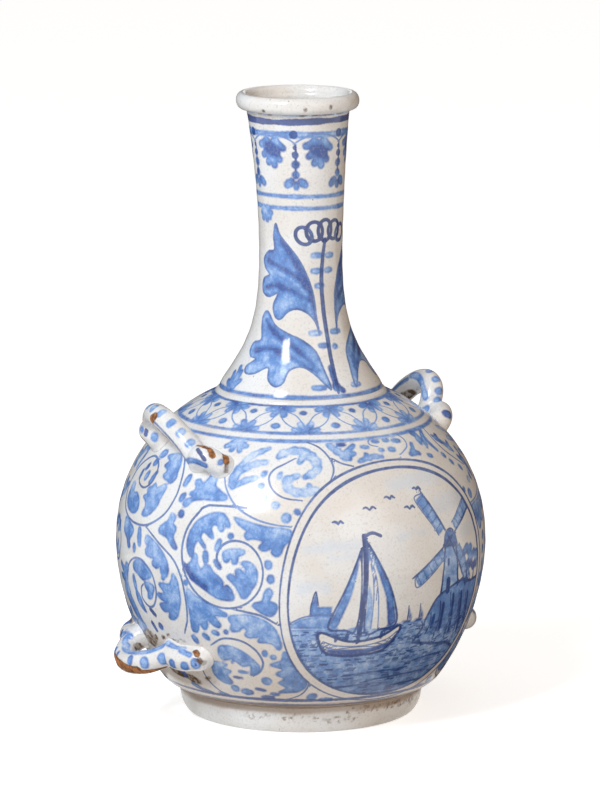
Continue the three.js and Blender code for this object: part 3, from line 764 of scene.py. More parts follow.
    # Round the side, past what is seen from the front
    leaf(sheet, [(-103, 92), (-106, 84), (-105, 76)], [(-110, 92), (-111, 84), (-109, 74)], 3.6)
    leaf(sheet, [(-98, 58), (-105, 56), (-112, 60)], [(-101, 50), (-108, 48), (-108, 66), (-116, 68)], 3.6)
    spiral(sheet, (-116, 106), 200, 420, (17, 5))
    leaf(sheet, [(-121, 103), (-117, 97), (-112, 99)], [(-118, 103), (-114, 104)], 3.0)
    leaf(sheet, [(-120, 112), (-115, 115), (-111, 111)], [(-117, 109), (-114, 108)], 2.8)
    leaf(sheet, [(-116, 132), (-121, 126)], [(-113, 137), (-118, 139), (-123, 133)], 3.4)
    leaf(sheet, [(-112, 162), (-117, 154), (-120, 146)], [(-111, 155), (-116, 145), (-123, 153)], 2.6, 0.35)
    dab(sheet, (-112, 150), 14, 1.7, 80, MIDDLE)
    dab(sheet, (-107, 164), 9, 1.7, 60, 0.35)
    # The low scroll beside the lower loop
    line(sheet, [(-65, 56), (-60, 61), (-53.8, 60.6), (-49.2, 55.5), (-47, 48.5), (-48, 42.5), (-51, 38.5)])
    line(sheet, [(-72, 40), (-71, 32), (-67, 25.5), (-60, 22.7)], STRONG, 0.5)
    line(sheet, [(-32, 39), (-31, 34), (-34, 27), (-41, 22.7)], STRONG, 0.5)
    dabs(sheet, [
        (-59.8, 29, 6.5, 2.8, 80, MIDDLE), (-55, 27.4, 9, 2.8, -5, MIDDLE),
        (-49.4, 29.6, 7.5, 1.4, -12, STRONG), (-47, 24.6, 9, 1.8, 0, STRONG), (-44, 27, 6.5, 1.6, -8, STRONG),
        (-29.6, 25.6, 8, 2.9, 30, 0.6), (-24, 23.3, 9, 1.8, 0, 0.6), (-84, 33, 10, 3.4, -30, STRONG),
        (-79, 26, 10, 2.2, -25, STRONG), (-74, 24, 10, 1.6, -15, STRONG), (-66, 24, 8, 1.5, -10, MIDDLE)])


def dirt_and_shade_at_loop(sheet):
    """Dirt in the joints of a lower loop, and painted shade inside and under it, as seen to the left of the
    panel
    """
    dabs(sheet, [
        (-69, 46, 9, 1.3, 20), (-68, 44, 5, 1.0, 60), (-87, 54.5, 5, 1.6, 10), (-81, 54.5, 7, 0.7, 0),
        (-88, 33, 14, 3.0, -20), (-79, 30.5, 13, 3.3, -15), (-71, 33, 6, 1.6, 30), (-90, 39, 8, 1.6, -30),
        (-93, 52, 9, 2.6, 30), (-104, 51, 9, 3.4, 0), (-84, 57, 4, 0.8, 30), (-77, 55.5, 5, 0.6, -10),
        (-97, 51, 18, 6, 10), (-105, 57, 6, 1.2, 60)], "grime_and_shade")


def paint_over_panel(sheet):
    """The scroll, leaves and berries between the collar and the panel's upper edge"""
    line(sheet, [(-31.5, 171), (-27, 168.8), (-24, 165.3), (-22.2, 161), (-22, 156.5), (-23.5, 152)],
         STRONG, 0.55)
    line(sheet, [(-36, 163.3), (-40, 160.5), (-44, 157.3), (-45.3, 153), (-43.5, 147.3), (-39.5, 143.3),
                 (-33.5, 142)], STRONG, 0.55)
    # The two palest leaves, tones 0.2 and 0.1, are partly a painted highlight where the glaze shines
    leaf(sheet, [(-41, 165.5), (-36.5, 167), (-32, 165.8), (-28.5, 162.3), (-28, 158), (-30.5, 155.3)],
         [(-43.5, 163), (-35, 160.3), (-33.5, 153.5)], 2.7, 0.2)
    leaf(sheet, [(-35, 154.8), (-38.8, 152.3), (-38.5, 148.8), (-36, 146.5), (-32.5, 146.3), (-28.5, 147.7)],
         [(-31.5, 151)], 2.5, 0.1)
    line(sheet, [(-22, 163), (-18.5, 160.3), (-14.5, 158.7)], STRONG, 0.55)
    leaf(sheet, [(-22.5, 169.5), (-19.5, 166.5), (-16.5, 163.3)], [(-11.5, 165), (-14, 161.7), (-11, 169.2)],
         2.3, 0.3)
    leaf(sheet, [(-11.5, 160.6), (-6, 162.4), (-1, 161.8)], [(-8, 164.8)], 1.7, 0.4)
    line(sheet, [(-2, 171.3), (-4.3, 169.8), (-4, 168), (-1, 166.8)], MIDDLE, 0.45)
    line(sheet, [(12, 171.3), (14.3, 168.3), (13.6, 165), (10.5, 163), (7.5, 161.5)], MIDDLE, 0.45)
    leaf(sheet, [(21, 170.5), (23.3, 168.5), (22.5, 164.5)], [(26, 166)], 2.2, 0.4)
    leaf(sheet, [(16.8, 165.5), (15.2, 161.5)], [(12, 160.3), (18.5, 160)], 2.1, 0.45)
    leaf(sheet, [(30, 171), (26.7, 166.5), (24.5, 162)], [], 1.7, 0.4)
    leaf(sheet, [(27.5, 167.5), (28.3, 163), (29.8, 159)], [], 1.4, 0.5)
    line(sheet, [(33, 170.5), (33, 164), (35, 158), (39, 153), (45, 147)], STRONG, 0.5)
    leaf(sheet, [(34.5, 166), (39, 160.5), (43, 155.5)], [(39, 166), (44, 161)], 1.8, 0.5)
    leaf(sheet, [(44, 152), (48, 147), (50.5, 139)], [(49, 153)], 2.0, 0.5)
    dabs(sheet, [
        (-41.5, 154.7, 6, 1.6, 70, 0.25), (-17, 169.2, 7, 1.5, 0, STRONG), (-7, 167.3, 7, 1.6, -10, 0.35),
        (-1, 169.3, 6, 1.5, -8, 0.4), (0, 165, 5, 1.6, 0, 0.35), (4.5, 169.2, 6, 1.7, -10, 0.4),
        (9.5, 168.3, 8, 1.8, -10, 0.4), (5, 164.6, 6.5, 2.0, -8, 0.4), (23, 158, 6, 1.7, -20, MIDDLE),
        (32, 156, 6, 1.7, -45, MIDDLE), (35, 151.5, 6, 1.7, -50, MIDDLE), (40, 147, 6, 1.7, -50, MIDDLE),
        (46, 140, 6, 1.7, -60, MIDDLE), (53, 135, 6, 1.7, -65, MIDDLE)])


# Panel on the front: a coast with a mill and a small boat, of general kind


def paint_panel(sheet):
    """The view inside the double ring, drawn in millimetres from the panel's middle"""
    place = (0, PANEL_HEIGHT)

    def points(values):
        """Offsets from the panel's middle on its chart"""
        return sheet.around(place, values)

    def wash(values, tone, high_tone=None):
        """A wash inside an outline"""
        sheet.fill("wash", *points(values), tone, high_tone)

    def wipe(values):
        """Bare glaze inside an outline"""
        sheet.wipe(*points(values))

    def draw(values, half=0.5, tone=STRONG, layer="line"):
        """A line or stroke through offsets"""
        middle, path = points(smooth(values))
        sheet.brush(layer, middle, path, np.full(len(path), half), tone)

    # Thin sky, and the sea as one wash with short strokes that close up towards the foot
    for u, v, length, half in ((-44, 26, 30, 3), (-34, 21, 22, 2), (44, 44, 30, 5), (20, 60, 44, 4),
                               (-56, 4, 14, 3), (58, 26, 16, 4), (6, 30, 18, 1.5)):
        draw([(u - length / 2, v), (u, v + 1.5), (u + length / 2, v + 0.5)], half, layer="mist")
    wash([(-72, -21), (-30, -20), (20, -21), (72, -20), (72, -74), (-72, -74)], 0.62, 0.3)
    chance = random.Random(SEED)
    for row in range(25):
        height = -22.5 - row * 1.95
        span = math.sqrt(max(0, PANEL_INNER ** 2 - height ** 2))
        at = -span + chance.uniform(0, 5)
        while at < span:
            length = chance.uniform(1.2, 3.2) + row * 0.16
            if chance.random() < 0.8:
                draw([(at, height), (at + length, height + chance.uniform(-0.35, 0.35))],
                     chance.uniform(0.32, 0.5), chance.uniform(0.6, 1.1))
            at += length + chance.uniform(1.8, 4.6)
    for height, start, end in ((-53, -30, 8), (-58, -14, 30), (-62, -34, -4), (-65, 0, 26), (-48, 14, 40)):
        draw([(start, height), ((start + end) / 2, height + 0.8), (end, height + 0.4)], 0.8, STRONG, "deep")
    # Far shore with a low church roof
    wash([(-71, -20.5), (-62, -14), (-48, -12), (-38, -16), (-28, -20.5)], 0.55, 0.4)
    draw([(-67, -16.5), (-60, -13), (-48, -11.8), (-38, -15.6), (-28, -20)], 0.55)
    wash([(-57, -12.8), (-57, -6), (-55, 2), (-53, -6), (-53, -7), (-45, -7), (-45, -12.8)], 0.75, 0.6)
    draw([(-57, -12.8), (-57, -6), (-55, 2), (-53, -6)], 0.4, DARK)
    # Bank on the right, with shade strokes under its edge
    bank = [(10, -35), (15, -27), (19, -17), (25, -9), (35, -5), (48, -2.5), (60, -5), (74, -4), (74, -52),
            (58, -50), (44, -42), (28, -39)]
    wash(bank, 0.9, 0.5)
    draw(bank[:8], 0.8, DARK)
    draw([bank[0], bank[-1], bank[-2], bank[-3]], 0.9, DARK)
    for start, end in (((21, -18), (19, -31)), ((28, -12), (27, -34)), ((37, -8), (38, -37)),
                       ((46, -8), (49, -40)), ((55, -10), (58, -42))):
        draw([start, ((start[0] + end[0]) / 2 + 1.5, (start[1] + end[1]) / 2), end], 0.5, DARK)
        draw([(start[0] + 3, start[1] - 2), (end[0] + 4, end[1] + 4)], 1.3, DARK, "deep")
    # Mill: a tapered tower, a cap and four sails
    tower = [(27, -8), (30, 20), (40.5, 20), (43.5, -5)]
    wash(tower, 0.2, 0.35)
    wash([(35.5, -6), (36.5, 20), (40.5, 20), (43.5, -5)], 0.75, 0.6)
    for start, end in ((0, 1), (3, 2), (1, 2)):
        draw([tower[start], tower[end]], 0.65, DARK)
    cap = [(28.8, 20), (31, 27), (35.2, 29.5), (39.5, 27), (41.8, 20)]
    wash(cap, 0.95, 0.7)
    draw(cap, 0.55, DARK)
    draw([(33.5, -6.5), (33.5, 0)], 1.9, DARK, "deep")
    draw([(33, 9), (33, 12)], 1.1, DARK, "deep")
    hub = np.array((34.5, 23.5))
    for quarter in range(4):
        turn = math.radians(31 + 90 * quarter)
        along = np.array((math.cos(turn), math.sin(turn)))
        across = np.array((-along[1], along[0]))
        draw([hub, hub + 35 * along], 0.65, DARK)
        sail = [hub + 8 * along, hub + 34 * along, hub + 34 * along + 7.4 * across,
                hub + 8 * along + 6 * across]
        wash(sail, 0.35, 0.45)
        draw([sail[3], sail[2], sail[1]], 0.4, STRONG)
        for bar in range(5):
            foot = hub + (12 + 5 * bar) * along
            draw([foot, foot + 6.6 * across], 0.32, STRONG)
    # Two trees on the bank
    for trunk, size in (((53, -5), 10), ((63, -5), 8)):
        draw([trunk, (trunk[0] + 0.6, trunk[1] + size)], 0.8, DARK)
        for puff in range(7):
            turn = math.radians(puff * 51)
            ends = [
                (trunk[0] + reach * size * math.cos(turn) + past,
                 trunk[1] + (1.5 + reach * math.sin(turn)) * size)
                for reach, past in ((0.45, -1), (0.6, 1))]
            draw(ends, size * 0.26, 0.55 + 0.07 * puff, "wash")
    # Boat: a clinker hull, one mast and two sails
    hull = [(-50, -23), (-47.5, -33), (-40, -38), (-22, -39), (-8, -35.5), (-1, -22), (-14, -28),
            (-32, -29.5)]
    middle, path = points(closed(hull))
    sheet.wipe(middle, path)
    wash([(-46.5, -34), (-40, -38), (-22, -39), (-8, -35.5), (-6, -32), (-20, -35), (-38, -34.5)], 1.1, 0.8)
    sheet.brush("line", middle, path, np.full(len(path), 0.8), DARK + 0.2)
    for drop in (0, 2.6):
        draw([(-48, -28.5 - drop), (-38, -32 - drop), (-22, -32.8 - drop), (-9, -30 - drop),
              (-3.5, -26 - drop)], 0.42)
    mainsail = [(-25, 30), (-17, 15), (-9, -2), (-4.5, -20), (-14, -23), (-24.5, -21.5)]
    wipe(mainsail)
    wash([(-25, 30), (-17, 15), (-9, -2), (-4.5, -20), (-10, -22), (-13, -4), (-19, 12)], 0.85, 0.45)
    wash([(-24.5, -21.5), (-24.5, 6), (-21.5, -4), (-20, -22)], 0.25, 0.1)
    draw([*mainsail, mainsail[0]], 0.7, DARK)
    for end in ((-16, -22.5), (-20.5, -22)):
        draw([(-25, 28), ((-25 + end[0]) / 2 + 1.5, 4), end], 0.38, MIDDLE)
    foresail = [(-28.5, 25), (-37, 5), (-46, -19), (-36, -22), (-29, -20)]
    wipe(foresail)
    wash([(-28.5, 25), (-37, 5), (-46, -19), (-41, -21), (-34, 0)], 0.6, 0.35)
    draw([*foresail, foresail[0]], 0.65, DARK)
    draw([(-27, -30), (-26.7, 0), (-26.5, 33)], 1.0, DARK + 0.2)
    draw([(-26.5, 32), (-21, 34), (-16, 32)], 1.0, DARK)
    for at in (-40, -34, -13):
        draw([(at, -28.5), (at, -25)], 1.1, DARK, "deep")
    # Birds, and two small hulls near the skyline
    for u, v, size in ((-20, 47, 3.6), (-6, 52, 3.0), (6, 45, 3.2), (-40, 40, 2.8), (14, 55, 2.6)):
        wings = [(u - size, v + 1.2), (u - size / 2, v + 1.6), (u, v), (u + size / 2, v + 1.8),
                 (u + size, v + 0.6)]
        draw(wings, 0.62, DARK)
    for u in (3, 11.5):
        wash([(u - 3, -19.5), (u + 3, -19.5), (u + 2, -22), (u - 2, -22)], 0.95)
        draw([(u, -19), (u, -11)], 0.42, DARK)
        wash([(u + 0.4, -12), (u + 0.4, -18.6), (u + 3.4, -18.6)], 0.6)


def paint_globe(sheet):
    """Collar, panel and three groups of scrolls, with two lines over the foot"""
    paint_collar(sheet)
    azimuth = np.arange(sheet.columns) * sheet.pitch - 180
    origin = sheet.chart([(0, PANEL_HEIGHT)])[1]
    from_middle = np.hypot(sheet.radius[:, None] * np.radians(azimuth), sheet.arc[:, None] - origin[0, 1])
    behind = np.abs(azimuth) > 90
    inside = np.where(behind, FAR, from_middle - PANEL_INNER)
    sheet.bound = np.where(behind, -FAR, PANEL_RADIUS - from_middle)
    for to, hand, stretch, under_loop in ((-82, 1, 1, True), (89, -1, 1.17, True), (187, 1, 1.17, False)):
        sheet.turn(-82, to, hand, stretch)
        paint_scrolls(sheet)
        if under_loop:
            dirt_and_shade_at_loop(sheet)
    sheet.turn()
    paint_over_panel(sheet)
    sheet.bound = inside
    paint_panel(sheet)
    sheet.bound = None
    for radius, half, tone in ((PANEL_RADIUS, 0.66, DARK - 0.1), (PANEL_INNER, 0.86, DARK)):
        middle, path = sheet.around((0, PANEL_HEIGHT), polar((radius, radius), 0, 360, 121))
        angles = np.linspace(0, 2 * np.pi, len(path))
        uneven = 1 + 0.25 * np.sin(angles + 1) + 0.1 * np.sin(7 * angles)
        sheet.brush("line", middle, path, half * uneven, tone)
    for height, half in ((22.8, 1.2), (18.9, 1.9)):
        sheet.ring("deep", height, half, sway=0.15)
    # Brown rings in the crease above the foot: dirt, and painted shade under the body
    sheet.ring("grime_and_shade", 18.7, 0.9, sway=0.3)
    sheet.ring("grime_and_shade", 16.8, 1.2, sway=0.3)


# Meshes


def linked(name, data):
    """A new object in the scene"""
    made = bpy.data.objects.new(name, data)
    bpy.context.scene.collection.objects.link(made)
    return made


def keep_layers(mesh, layers):
    """The paint's distances are kept on the mesh points"""
    for label, values in layers.items():
        attribute = mesh.attributes.new(label, "FLOAT", "POINT")
        attribute.data.foreach_set("value", values.astype(np.float32))


def thrown(sheet):
    """The sheet's points in space, with the wavering of the thrower's hand and the neck's lean"""
    angles = np.radians(np.arange(sheet.columns) * sheet.pitch - 180)
    height = sheet.height[:, None]
    waver = (OVALITY * np.sin(2 * angles + 0.4 + height / 90)
             + WAVER * np.sin(3 * angles + height / 35) - SHRINKAGE)
    fingers = np.where(height > FOOT_TOP + 2, FINGER_RINGS * np.sin(height / FINGER_PITCH), 0)
    radius = sheet.radius[:, None] * (1 + waver) + fingers
    lean = LEAN * np.clip((height - LEAN_START) / (LIP_TOP - LEAN_START), 0, 1) ** 1.5
    x = radius * np.sin(angles) + lean * math.sin(math.radians(LEAN_AZIMUTH))
    y = -radius * np.cos(angles) - lean * math.cos(math.radians(LEAN_AZIMUTH))
    return np.stack([x, y, np.broadcast_to(height, x.shape)], -1)


def build(name, sheet, looped=True):
    """The mesh of a sheet. Its rings are joined, the last to the first if looped, and a pole is one point"""
    rows, columns = len(sheet.radius), sheet.columns
    pole = sheet.radius < 0.01
    sizes = np.where(pole, 1, columns)
    starts = np.cumsum(sizes) - sizes
    index = starts[:, None] + np.where(pole[:, None], 0, np.arange(columns))
    keep = np.concatenate([np.arange(size) + row * columns for row, size in enumerate(sizes)])
    points = thrown(sheet)
    points[pole] = points[pole].mean(1, keepdims=True)
    span = np.arange(rows if looped else rows - 1)
    across = np.arange(columns)
    beside = (across + 1) % columns
    low, high = index[span], index[(span + 1) % rows]
    quads = np.stack([low, low[:, beside], high[:, beside], high], -1).reshape(-1, 4)
    ups = np.append(sheet.arc, sheet.arc[-1] + 1)
    share_low, share_high = ups[span] / ups[-1], ups[span + 1] / ups[-1]
    left, right = across / columns, (across + 1) / columns
    uv = np.stack([np.stack(np.broadcast_arrays(side, share[:, None]), -1) for side, share in (
        (left, share_low), (right, share_low), (right, share_high), (left, share_high))], 2).reshape(-1, 4, 2)
    faces, corners = [], []
    for quad, corner in zip(quads.tolist(), uv.tolist()):
        kept = [i for i in range(4) if quad[i] != quad[i - 1]]
        faces.append([quad[i] for i in kept])
        corners.extend(corner[i] for i in kept)
    mesh = bpy.data.meshes.new(name)
    mesh.from_pydata((points.reshape(-1, 3)[keep] * MM).tolist(), [], faces)
    mesh.shade_smooth()
    layer = mesh.uv_layers.new(name="OFBake")
    layer.data.foreach_set("uv", np.array(corners, np.float32).ravel())
    keep_layers(mesh, {label: values.reshape(-1)[keep] for label, values in sheet.layers.items()})
    mesh.validate()
    return linked(name, mesh)


def dress(piece, node, slot):
    """The piece rides on the one body, hides its CAD node and takes the glaze of its slot"""
    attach(piece, "root")
    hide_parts(node)
    piece.data.materials.append(glaze_for(slot))


# Coil loops


def on_globe(loop, along, lift, out=0.0):
    """A point of a coil: along is the distance round the globe from the loop's middle, lift that off it"""
    height = FOOT_TOP + loop["height"] + loop["climb"] * along
    azimuth = math.radians(loop["azimuth"]) + along / float(globe_radius(FOOT_TOP + loop["height"]))
    slope = float(globe_radius(height + 0.5) - globe_radius(height - 0.5))
    normal = np.array((1, -slope)) / math.hypot(1, slope)
    radius = float(globe_radius(height)) + lift * normal[0]
    middle, rise = math.radians(loop["azimuth"]), math.radians(loop["rise"])
    outward = np.array((
        math.sin(middle) * math.cos(rise), -math.cos(middle) * math.cos(rise), math.sin(rise)))
    place = np.array((radius * math.sin(azimuth), -radius * math.cos(azimuth), height + lift * normal[1]))
    return place + out * outward


def coil_lines(loop):
    """The middle lines of a loop's bow and of its two lobes"""
    bow = [on_globe(loop, -loop["half_span"] * math.cos(turn) + loop["lean"] * math.sin(turn), COIL_LIFT,
                    loop["standoff"] * math.sin(turn)) for turn in np.linspace(0, math.pi, 41)]
    lobes = [[on_globe(loop, side * (loop["half_span"] + length * share),
                       COIL_LIFT + loop["crown"] * math.sin(math.pi * share))
              for share in np.linspace(0, 1, 13)] for side, length in zip((-1, 1), loop["lobes"])]
    return [np.array(places) for places in (bow, *lobes)]


def coil_mesh(path, seed):
    """A hand-rolled coil along a line: round, a little uneven, with domed ends"""
    tangents = np.gradient(path, axis=0)
    tangents /= np.linalg.norm(tangents, axis=1)[:, None]
    normal = np.cross(tangents[0], (0.31, 0.17, 0.93))
    chance = random.Random(seed)
    phase = chance.uniform(0, 6)
    rings = []
    domes = np.radians(np.linspace(0, 84, 9))
    stations = [(0, COIL_RADIUS * math.cos(a), -COIL_RADIUS * math.sin(a)) for a in domes[:0:-1]]
    stations += [(i, COIL_RADIUS, 0) for i in range(len(path))]
    stations += [(len(path) - 1, COIL_RADIUS * math.cos(a), COIL_RADIUS * math.sin(a)) for a in domes[1:]]
    for i, radius, ahead in stations:
        normal = normal - tangents[i] * (normal @ tangents[i])
        normal /= np.linalg.norm(normal)
        binormal = np.cross(tangents[i], normal)
        share = i / (len(path) - 1)
        uneven = 0.975 + 0.02 * math.sin(7 * share + phase) + 0.01 * math.sin(17 * share + phase)
        angles = np.linspace(0, 2 * np.pi, COIL_SIDES, endpoint=False)
        ring = path[i] + tangents[i] * ahead + radius * uneven * (
            np.outer(np.cos(angles), normal) + np.outer(np.sin(angles), binormal))
        rings.append(ring)
    points = np.vstack(rings)
    around = np.arange(COIL_SIDES)
    beside = (around + 1) % COIL_SIDES
    faces = []
    for low in range(0, (len(rings) - 1) * COIL_SIDES, COIL_SIDES):
        high = low + COIL_SIDES
        faces += np.column_stack([low + around, low + beside, high + beside, high + around]).tolist()
    faces.append(around[::-1].tolist())
    faces.append((around + (len(rings) - 1) * COIL_SIDES).tolist())
    return points, faces


def globe_gap(points):
    """How far points stand off the globe, and the globe's outward direction there"""
    radius = np.hypot(points[:, 0], points[:, 1])
    slope = (globe_radius(points[:, 2] + 0.5) - globe_radius(points[:, 2] - 0.5))
    scale = np.hypot(1, slope)
    gap = (radius - globe_radius(points[:, 2])) / scale
    outward = np.column_stack([points[:, 0] / radius, points[:, 1] / radius, -slope]) / scale[:, None]
    return gap, outward


def nearest_middle(points, lines):
    """For each point, the nearest point of the coils' middle lines"""
    middles = np.vstack(lines)
    return middles[((points[:, None] - middles[None]) ** 2).sum(-1).argmin(1)]


def make_loop(name, loop, spacing):
    """A loop's coils pressed together, smoothed where wet fingers joined them, and luted to the globe"""
    lines = coil_lines(loop)
    points, faces = [], []
    for number, path in enumerate(lines):
        coil_points, coil_faces = coil_mesh(path, f"{name}{number}")
        start = sum(len(p) for p in points)
        points.append(coil_points)
        faces += [[start + i for i in face] for face in coil_faces]
    mesh = bpy.data.meshes.new(name + "_coils")
    mesh.from_pydata((np.vstack(points) * MM).tolist(), [], faces)
    rough = linked(name + "_coils", mesh)
    remesh = rough.modifiers.new("joined", "REMESH")
    remesh.mode = "VOXEL"
    remesh.voxel_size = spacing * MM
    soften = rough.modifiers.new("wiped", "SMOOTH")
    soften.factor = 0.5
    soften.iterations = 5
    bpy.context.view_layer.update()
    made = bpy.data.meshes.new_from_object(rough.evaluated_get(bpy.context.evaluated_depsgraph_get()))
    bpy.data.objects.remove(rough)
    made.name = name
    co = np.zeros(len(made.vertices) * 3)
    made.vertices.foreach_get("co", co)
    co = co.reshape(-1, 3) / MM
    away = co - nearest_middle(co, lines)
    gap, outward = globe_gap(co)
    sideways = away - outward * (away * outward).sum(1)[:, None]
    sideways /= np.linalg.norm(sideways, axis=1)[:, None] + 1e-6
    co += sideways * (SKIRT_WIDTH * np.exp(-np.maximum(0, gap) / SKIRT_HEIGHT))[:, None]
    gap, outward = globe_gap(co)
    co += outward * np.maximum(0, -SEAT_SINK - gap)[:, None]
    dents = np.sin(co[:, 0] / 2.7 + 1) * np.sin(co[:, 1] / 3.1) * np.sin(co[:, 2] / 2.9 + 2)
    co += FINGER_DENTS * (dents[:, None] - 0.6) * away / (np.linalg.norm(away, axis=1)[:, None] + 1e-6)
    return made, co, lines


def mark_loop(marks, co, lines):
    """Paint, chips, dirt and painted shade on a loop, each a touch along one of its coils at an angle
    from outwards to up
    """
    layers = {name: np.full(len(co), FAR) for name in (*REACHES, "chip")}
    layers.update({name: np.full(len(co), MIDDLE) for name in ("wash_tone", "line_tone", "line_width")})
    for layer, coil, start, end, half, tone in marks:
        path = lines[coil]
        tangents = np.gradient(path, axis=0)
        spacing = np.linalg.norm(tangents, axis=1)[:, None]
        tangents /= spacing
        outward = globe_gap(path)[1]
        outward -= tangents * (outward * tangents).sum(1)[:, None]
        outward /= np.linalg.norm(outward, axis=1)[:, None]
        upward = np.cross(tangents, outward)
        upward *= np.sign(upward[:, 2:])
        share, turn = np.linspace(start, end, 33).T
        turn = np.radians(turn)[:, None]
        last = len(path) - 1
        middle, along, out, up = (
            np.column_stack([np.interp(share * last, np.arange(last + 1), row) for row in rows.T])
            for rows in (path, tangents, outward, upward))
        ahead = np.clip((share - 1)[:, None] * last * spacing[-1], 0, COIL_RADIUS)
        around = np.cos(turn) * out + np.sin(turn) * up
        ridge = middle + along * ahead + np.sqrt(COIL_RADIUS ** 2 - ahead ** 2) * around
        reach = np.linalg.norm(co[:, None] - ridge[None], axis=2).min(1) - half
        nearer = reach < layers[layer]
        layers[layer] = np.where(nearer, reach, layers[layer])
        if layer == "wash":
            layers["wash_tone"] = np.where(nearer, tone, layers["wash_tone"])
    return layers


# Materials


def add(tree, kind, inputs=None, **settings):
    """Adds a node with its settings; each input takes a plain value or a link from another node's output"""
    node = tree.nodes.new(kind)
    for name, value in settings.items():
        setattr(node, name, value)
    for name, value in (inputs or {}).items():
        if isinstance(value, bpy.types.NodeSocket):
            tree.links.new(value, node.inputs[name])
        else:
            node.inputs[name].default_value = value
    return node


def per_metre(size):
    """A pattern's scale for features of a size in millimetres"""
    return 1000 / size


def glaze_ground(tree, colours, noise):
    """The white glaze itself: creamy where it lies thin, with fine grey specks"""
    thin = add(tree, RANGE, {"Value": noise["clouds"], "From Min": 0.35, "From Max": 0.68},
               **EASED).outputs[0]
    colour = add(tree, MIX, {
        0: thin, 6: colours["glaze_white"], 7: colours["glaze_cream"]}, **OVER).outputs[2]
    specked = add(tree, RANGE, {
        "Value": noise["grains"], "From Min": 0.5, "From Max": 0.72, "To Max": 0.34}, **EASED).outputs[0]
    return add(tree, MIX, {0: specked, 6: colour, 7: colours["glaze_shade"]}, **OVER).outputs[2]


def cobalt_paint(tree, colours, noise, place, colour):
    """Cobalt laid on the raw glaze, so that it sank in: mist, washes, strokes of a full brush, drawn lines"""
    mist, wash, wash_tone, deep, line_side, line_near, width, line_tone = (
        add(tree, "ShaderNodeAttribute", attribute_name=label).outputs["Fac"] for label in (
            "mist", "wash", "wash_tone", "deep", "line_side", "line_near", "line_width", "line_tone"))
    streaked = add(tree, NOISE, {
        "Vector": place, "Scale": per_metre(8), "Detail": 5, "Roughness": 0.7}).outputs[0]
    wobble = add(tree, RANGE, {"Value": noise["fine"], "To Min": -0.55, "To Max": 0.55}).outputs[0]
    grain = add(tree, RANGE, {"Value": noise["grains"], "To Min": -0.25, "To Max": 0.25}).outputs[0]
    streaks = add(tree, RANGE, {"Value": streaked, "To Min": -0.85, "To Max": 0.85}).outputs[0]
    uneven = add(tree, MATH, {0: streaks, 1: grain}, operation="ADD").outputs[0]
    # A mist of thin blue with a ragged edge
    ragged = add(tree, MATH, {0: streaks, 1: 6.0, 2: mist}, operation="MULTIPLY_ADD").outputs[0]
    hazy = add(tree, RANGE, {
        "Value": ragged, "From Min": 3, "From Max": -3, "To Max": 0.4}, **EASED).outputs[0]
    colour = add(tree, MIX, {0: hazy, 6: colour, 7: colours["cobalt_thin"]}, **OVER).outputs[2]
    # Washes: streaked inside, darker at the rim where the colour pooled, with grains of bare glaze
    rim = add(tree, MATH, {0: wash, 1: wobble}, operation="ADD").outputs[0]
    pooled = add(tree, RANGE, {
        "Value": rim, "From Min": -1.8, "From Max": -0.3, "To Max": 0.18}, **EASED).outputs[0]
    streaked_tone = add(tree, MATH, {0: wash_tone, 1: uneven}, operation="ADD").outputs[0]
    tone = add(tree, MATH, {0: streaked_tone, 1: pooled}, operation="ADD").outputs[0]
    blues = add(tree, "ShaderNodeValToRGB", {"Fac": tone})
    stops = blues.color_ramp.elements
    stops[0].color = colours["cobalt_thin"]
    stops[1].color = colours["cobalt_dark"]
    for position, key in ((0.25, "cobalt_light"), (0.55, "cobalt_middle")):
        stops.new(position).color = colours[key]
    gaps = add(tree, RANGE, {
        "Value": noise["grains"], "From Min": 0.45, "From Max": 0.75, "To Min": 0.96, "To Max": 0.8},
        **EASED).outputs[0]
    washed = add(tree, RANGE, {
        "Value": rim, "From Min": 0.8, "From Max": -0.7, "To Max": gaps}, **EASED).outputs[0]
    colour = add(tree, MIX, {0: washed, 6: colour, 7: blues.outputs["Color"]}, **OVER).outputs[2]
    # Strokes of a full brush
    edge = add(tree, MATH, {0: deep, 1: wobble}, operation="ADD").outputs[0]
    filled = add(tree, RANGE, {
        "Value": edge, "From Min": 0.4, "From Max": -0.4, "To Max": 0.9}, **EASED).outputs[0]
    thick = add(tree, RANGE, {"Value": uneven, "From Min": -0.3, "From Max": 0.35}, **EASED).outputs[0]
    strong = add(tree, MIX, {
        0: thick, 6: colours["cobalt_dark"], 7: colours["cobalt_ink"]}, **OVER).outputs[2]
    colour = add(tree, MIX, {0: filled, 6: colour, 7: strong}, **OVER).outputs[2]
    # A line's signed side keeps it sharp between mesh points; its plain distance hides false crossings
    off_middle = add(tree, MATH, {0: line_side}, operation="ABSOLUTE").outputs[0]
    wavering = add(tree, MATH, {0: wobble, 1: 0.35, 2: off_middle}, operation="MULTIPLY_ADD").outputs[0]
    past_edge = add(tree, MATH, {0: wavering, 1: width}, operation="SUBTRACT").outputs[0]
    inside = add(tree, RANGE, {
        "Value": past_edge, "From Min": 0.3, "From Max": -0.3, "To Max": 0.94}, **EASED).outputs[0]
    reach = add(tree, MATH, {0: width, 1: -0.6, 2: line_near}, operation="MULTIPLY_ADD").outputs[0]
    close = add(tree, MATH, {0: reach, 1: 0.65}, operation="LESS_THAN").outputs[0]
    drawn = add(tree, MATH, {0: inside, 1: close}, operation="MULTIPLY").outputs[0]
    uneven_tone = add(tree, MATH, {0: uneven, 1: 0.8, 2: line_tone}, operation="MULTIPLY_ADD").outputs[0]
    ink = add(tree, RANGE, {"Value": uneven_tone, "From Min": 0.2, "From Max": 1.3}, **EASED).outputs[0]
    pen = add(tree, MIX, {0: ink, 6: colours["cobalt_line"], 7: colours["cobalt_ink"]}, **OVER).outputs[2]
    return add(tree, MIX, {0: drawn, 6: colour, 7: pen}, **OVER).outputs[2]


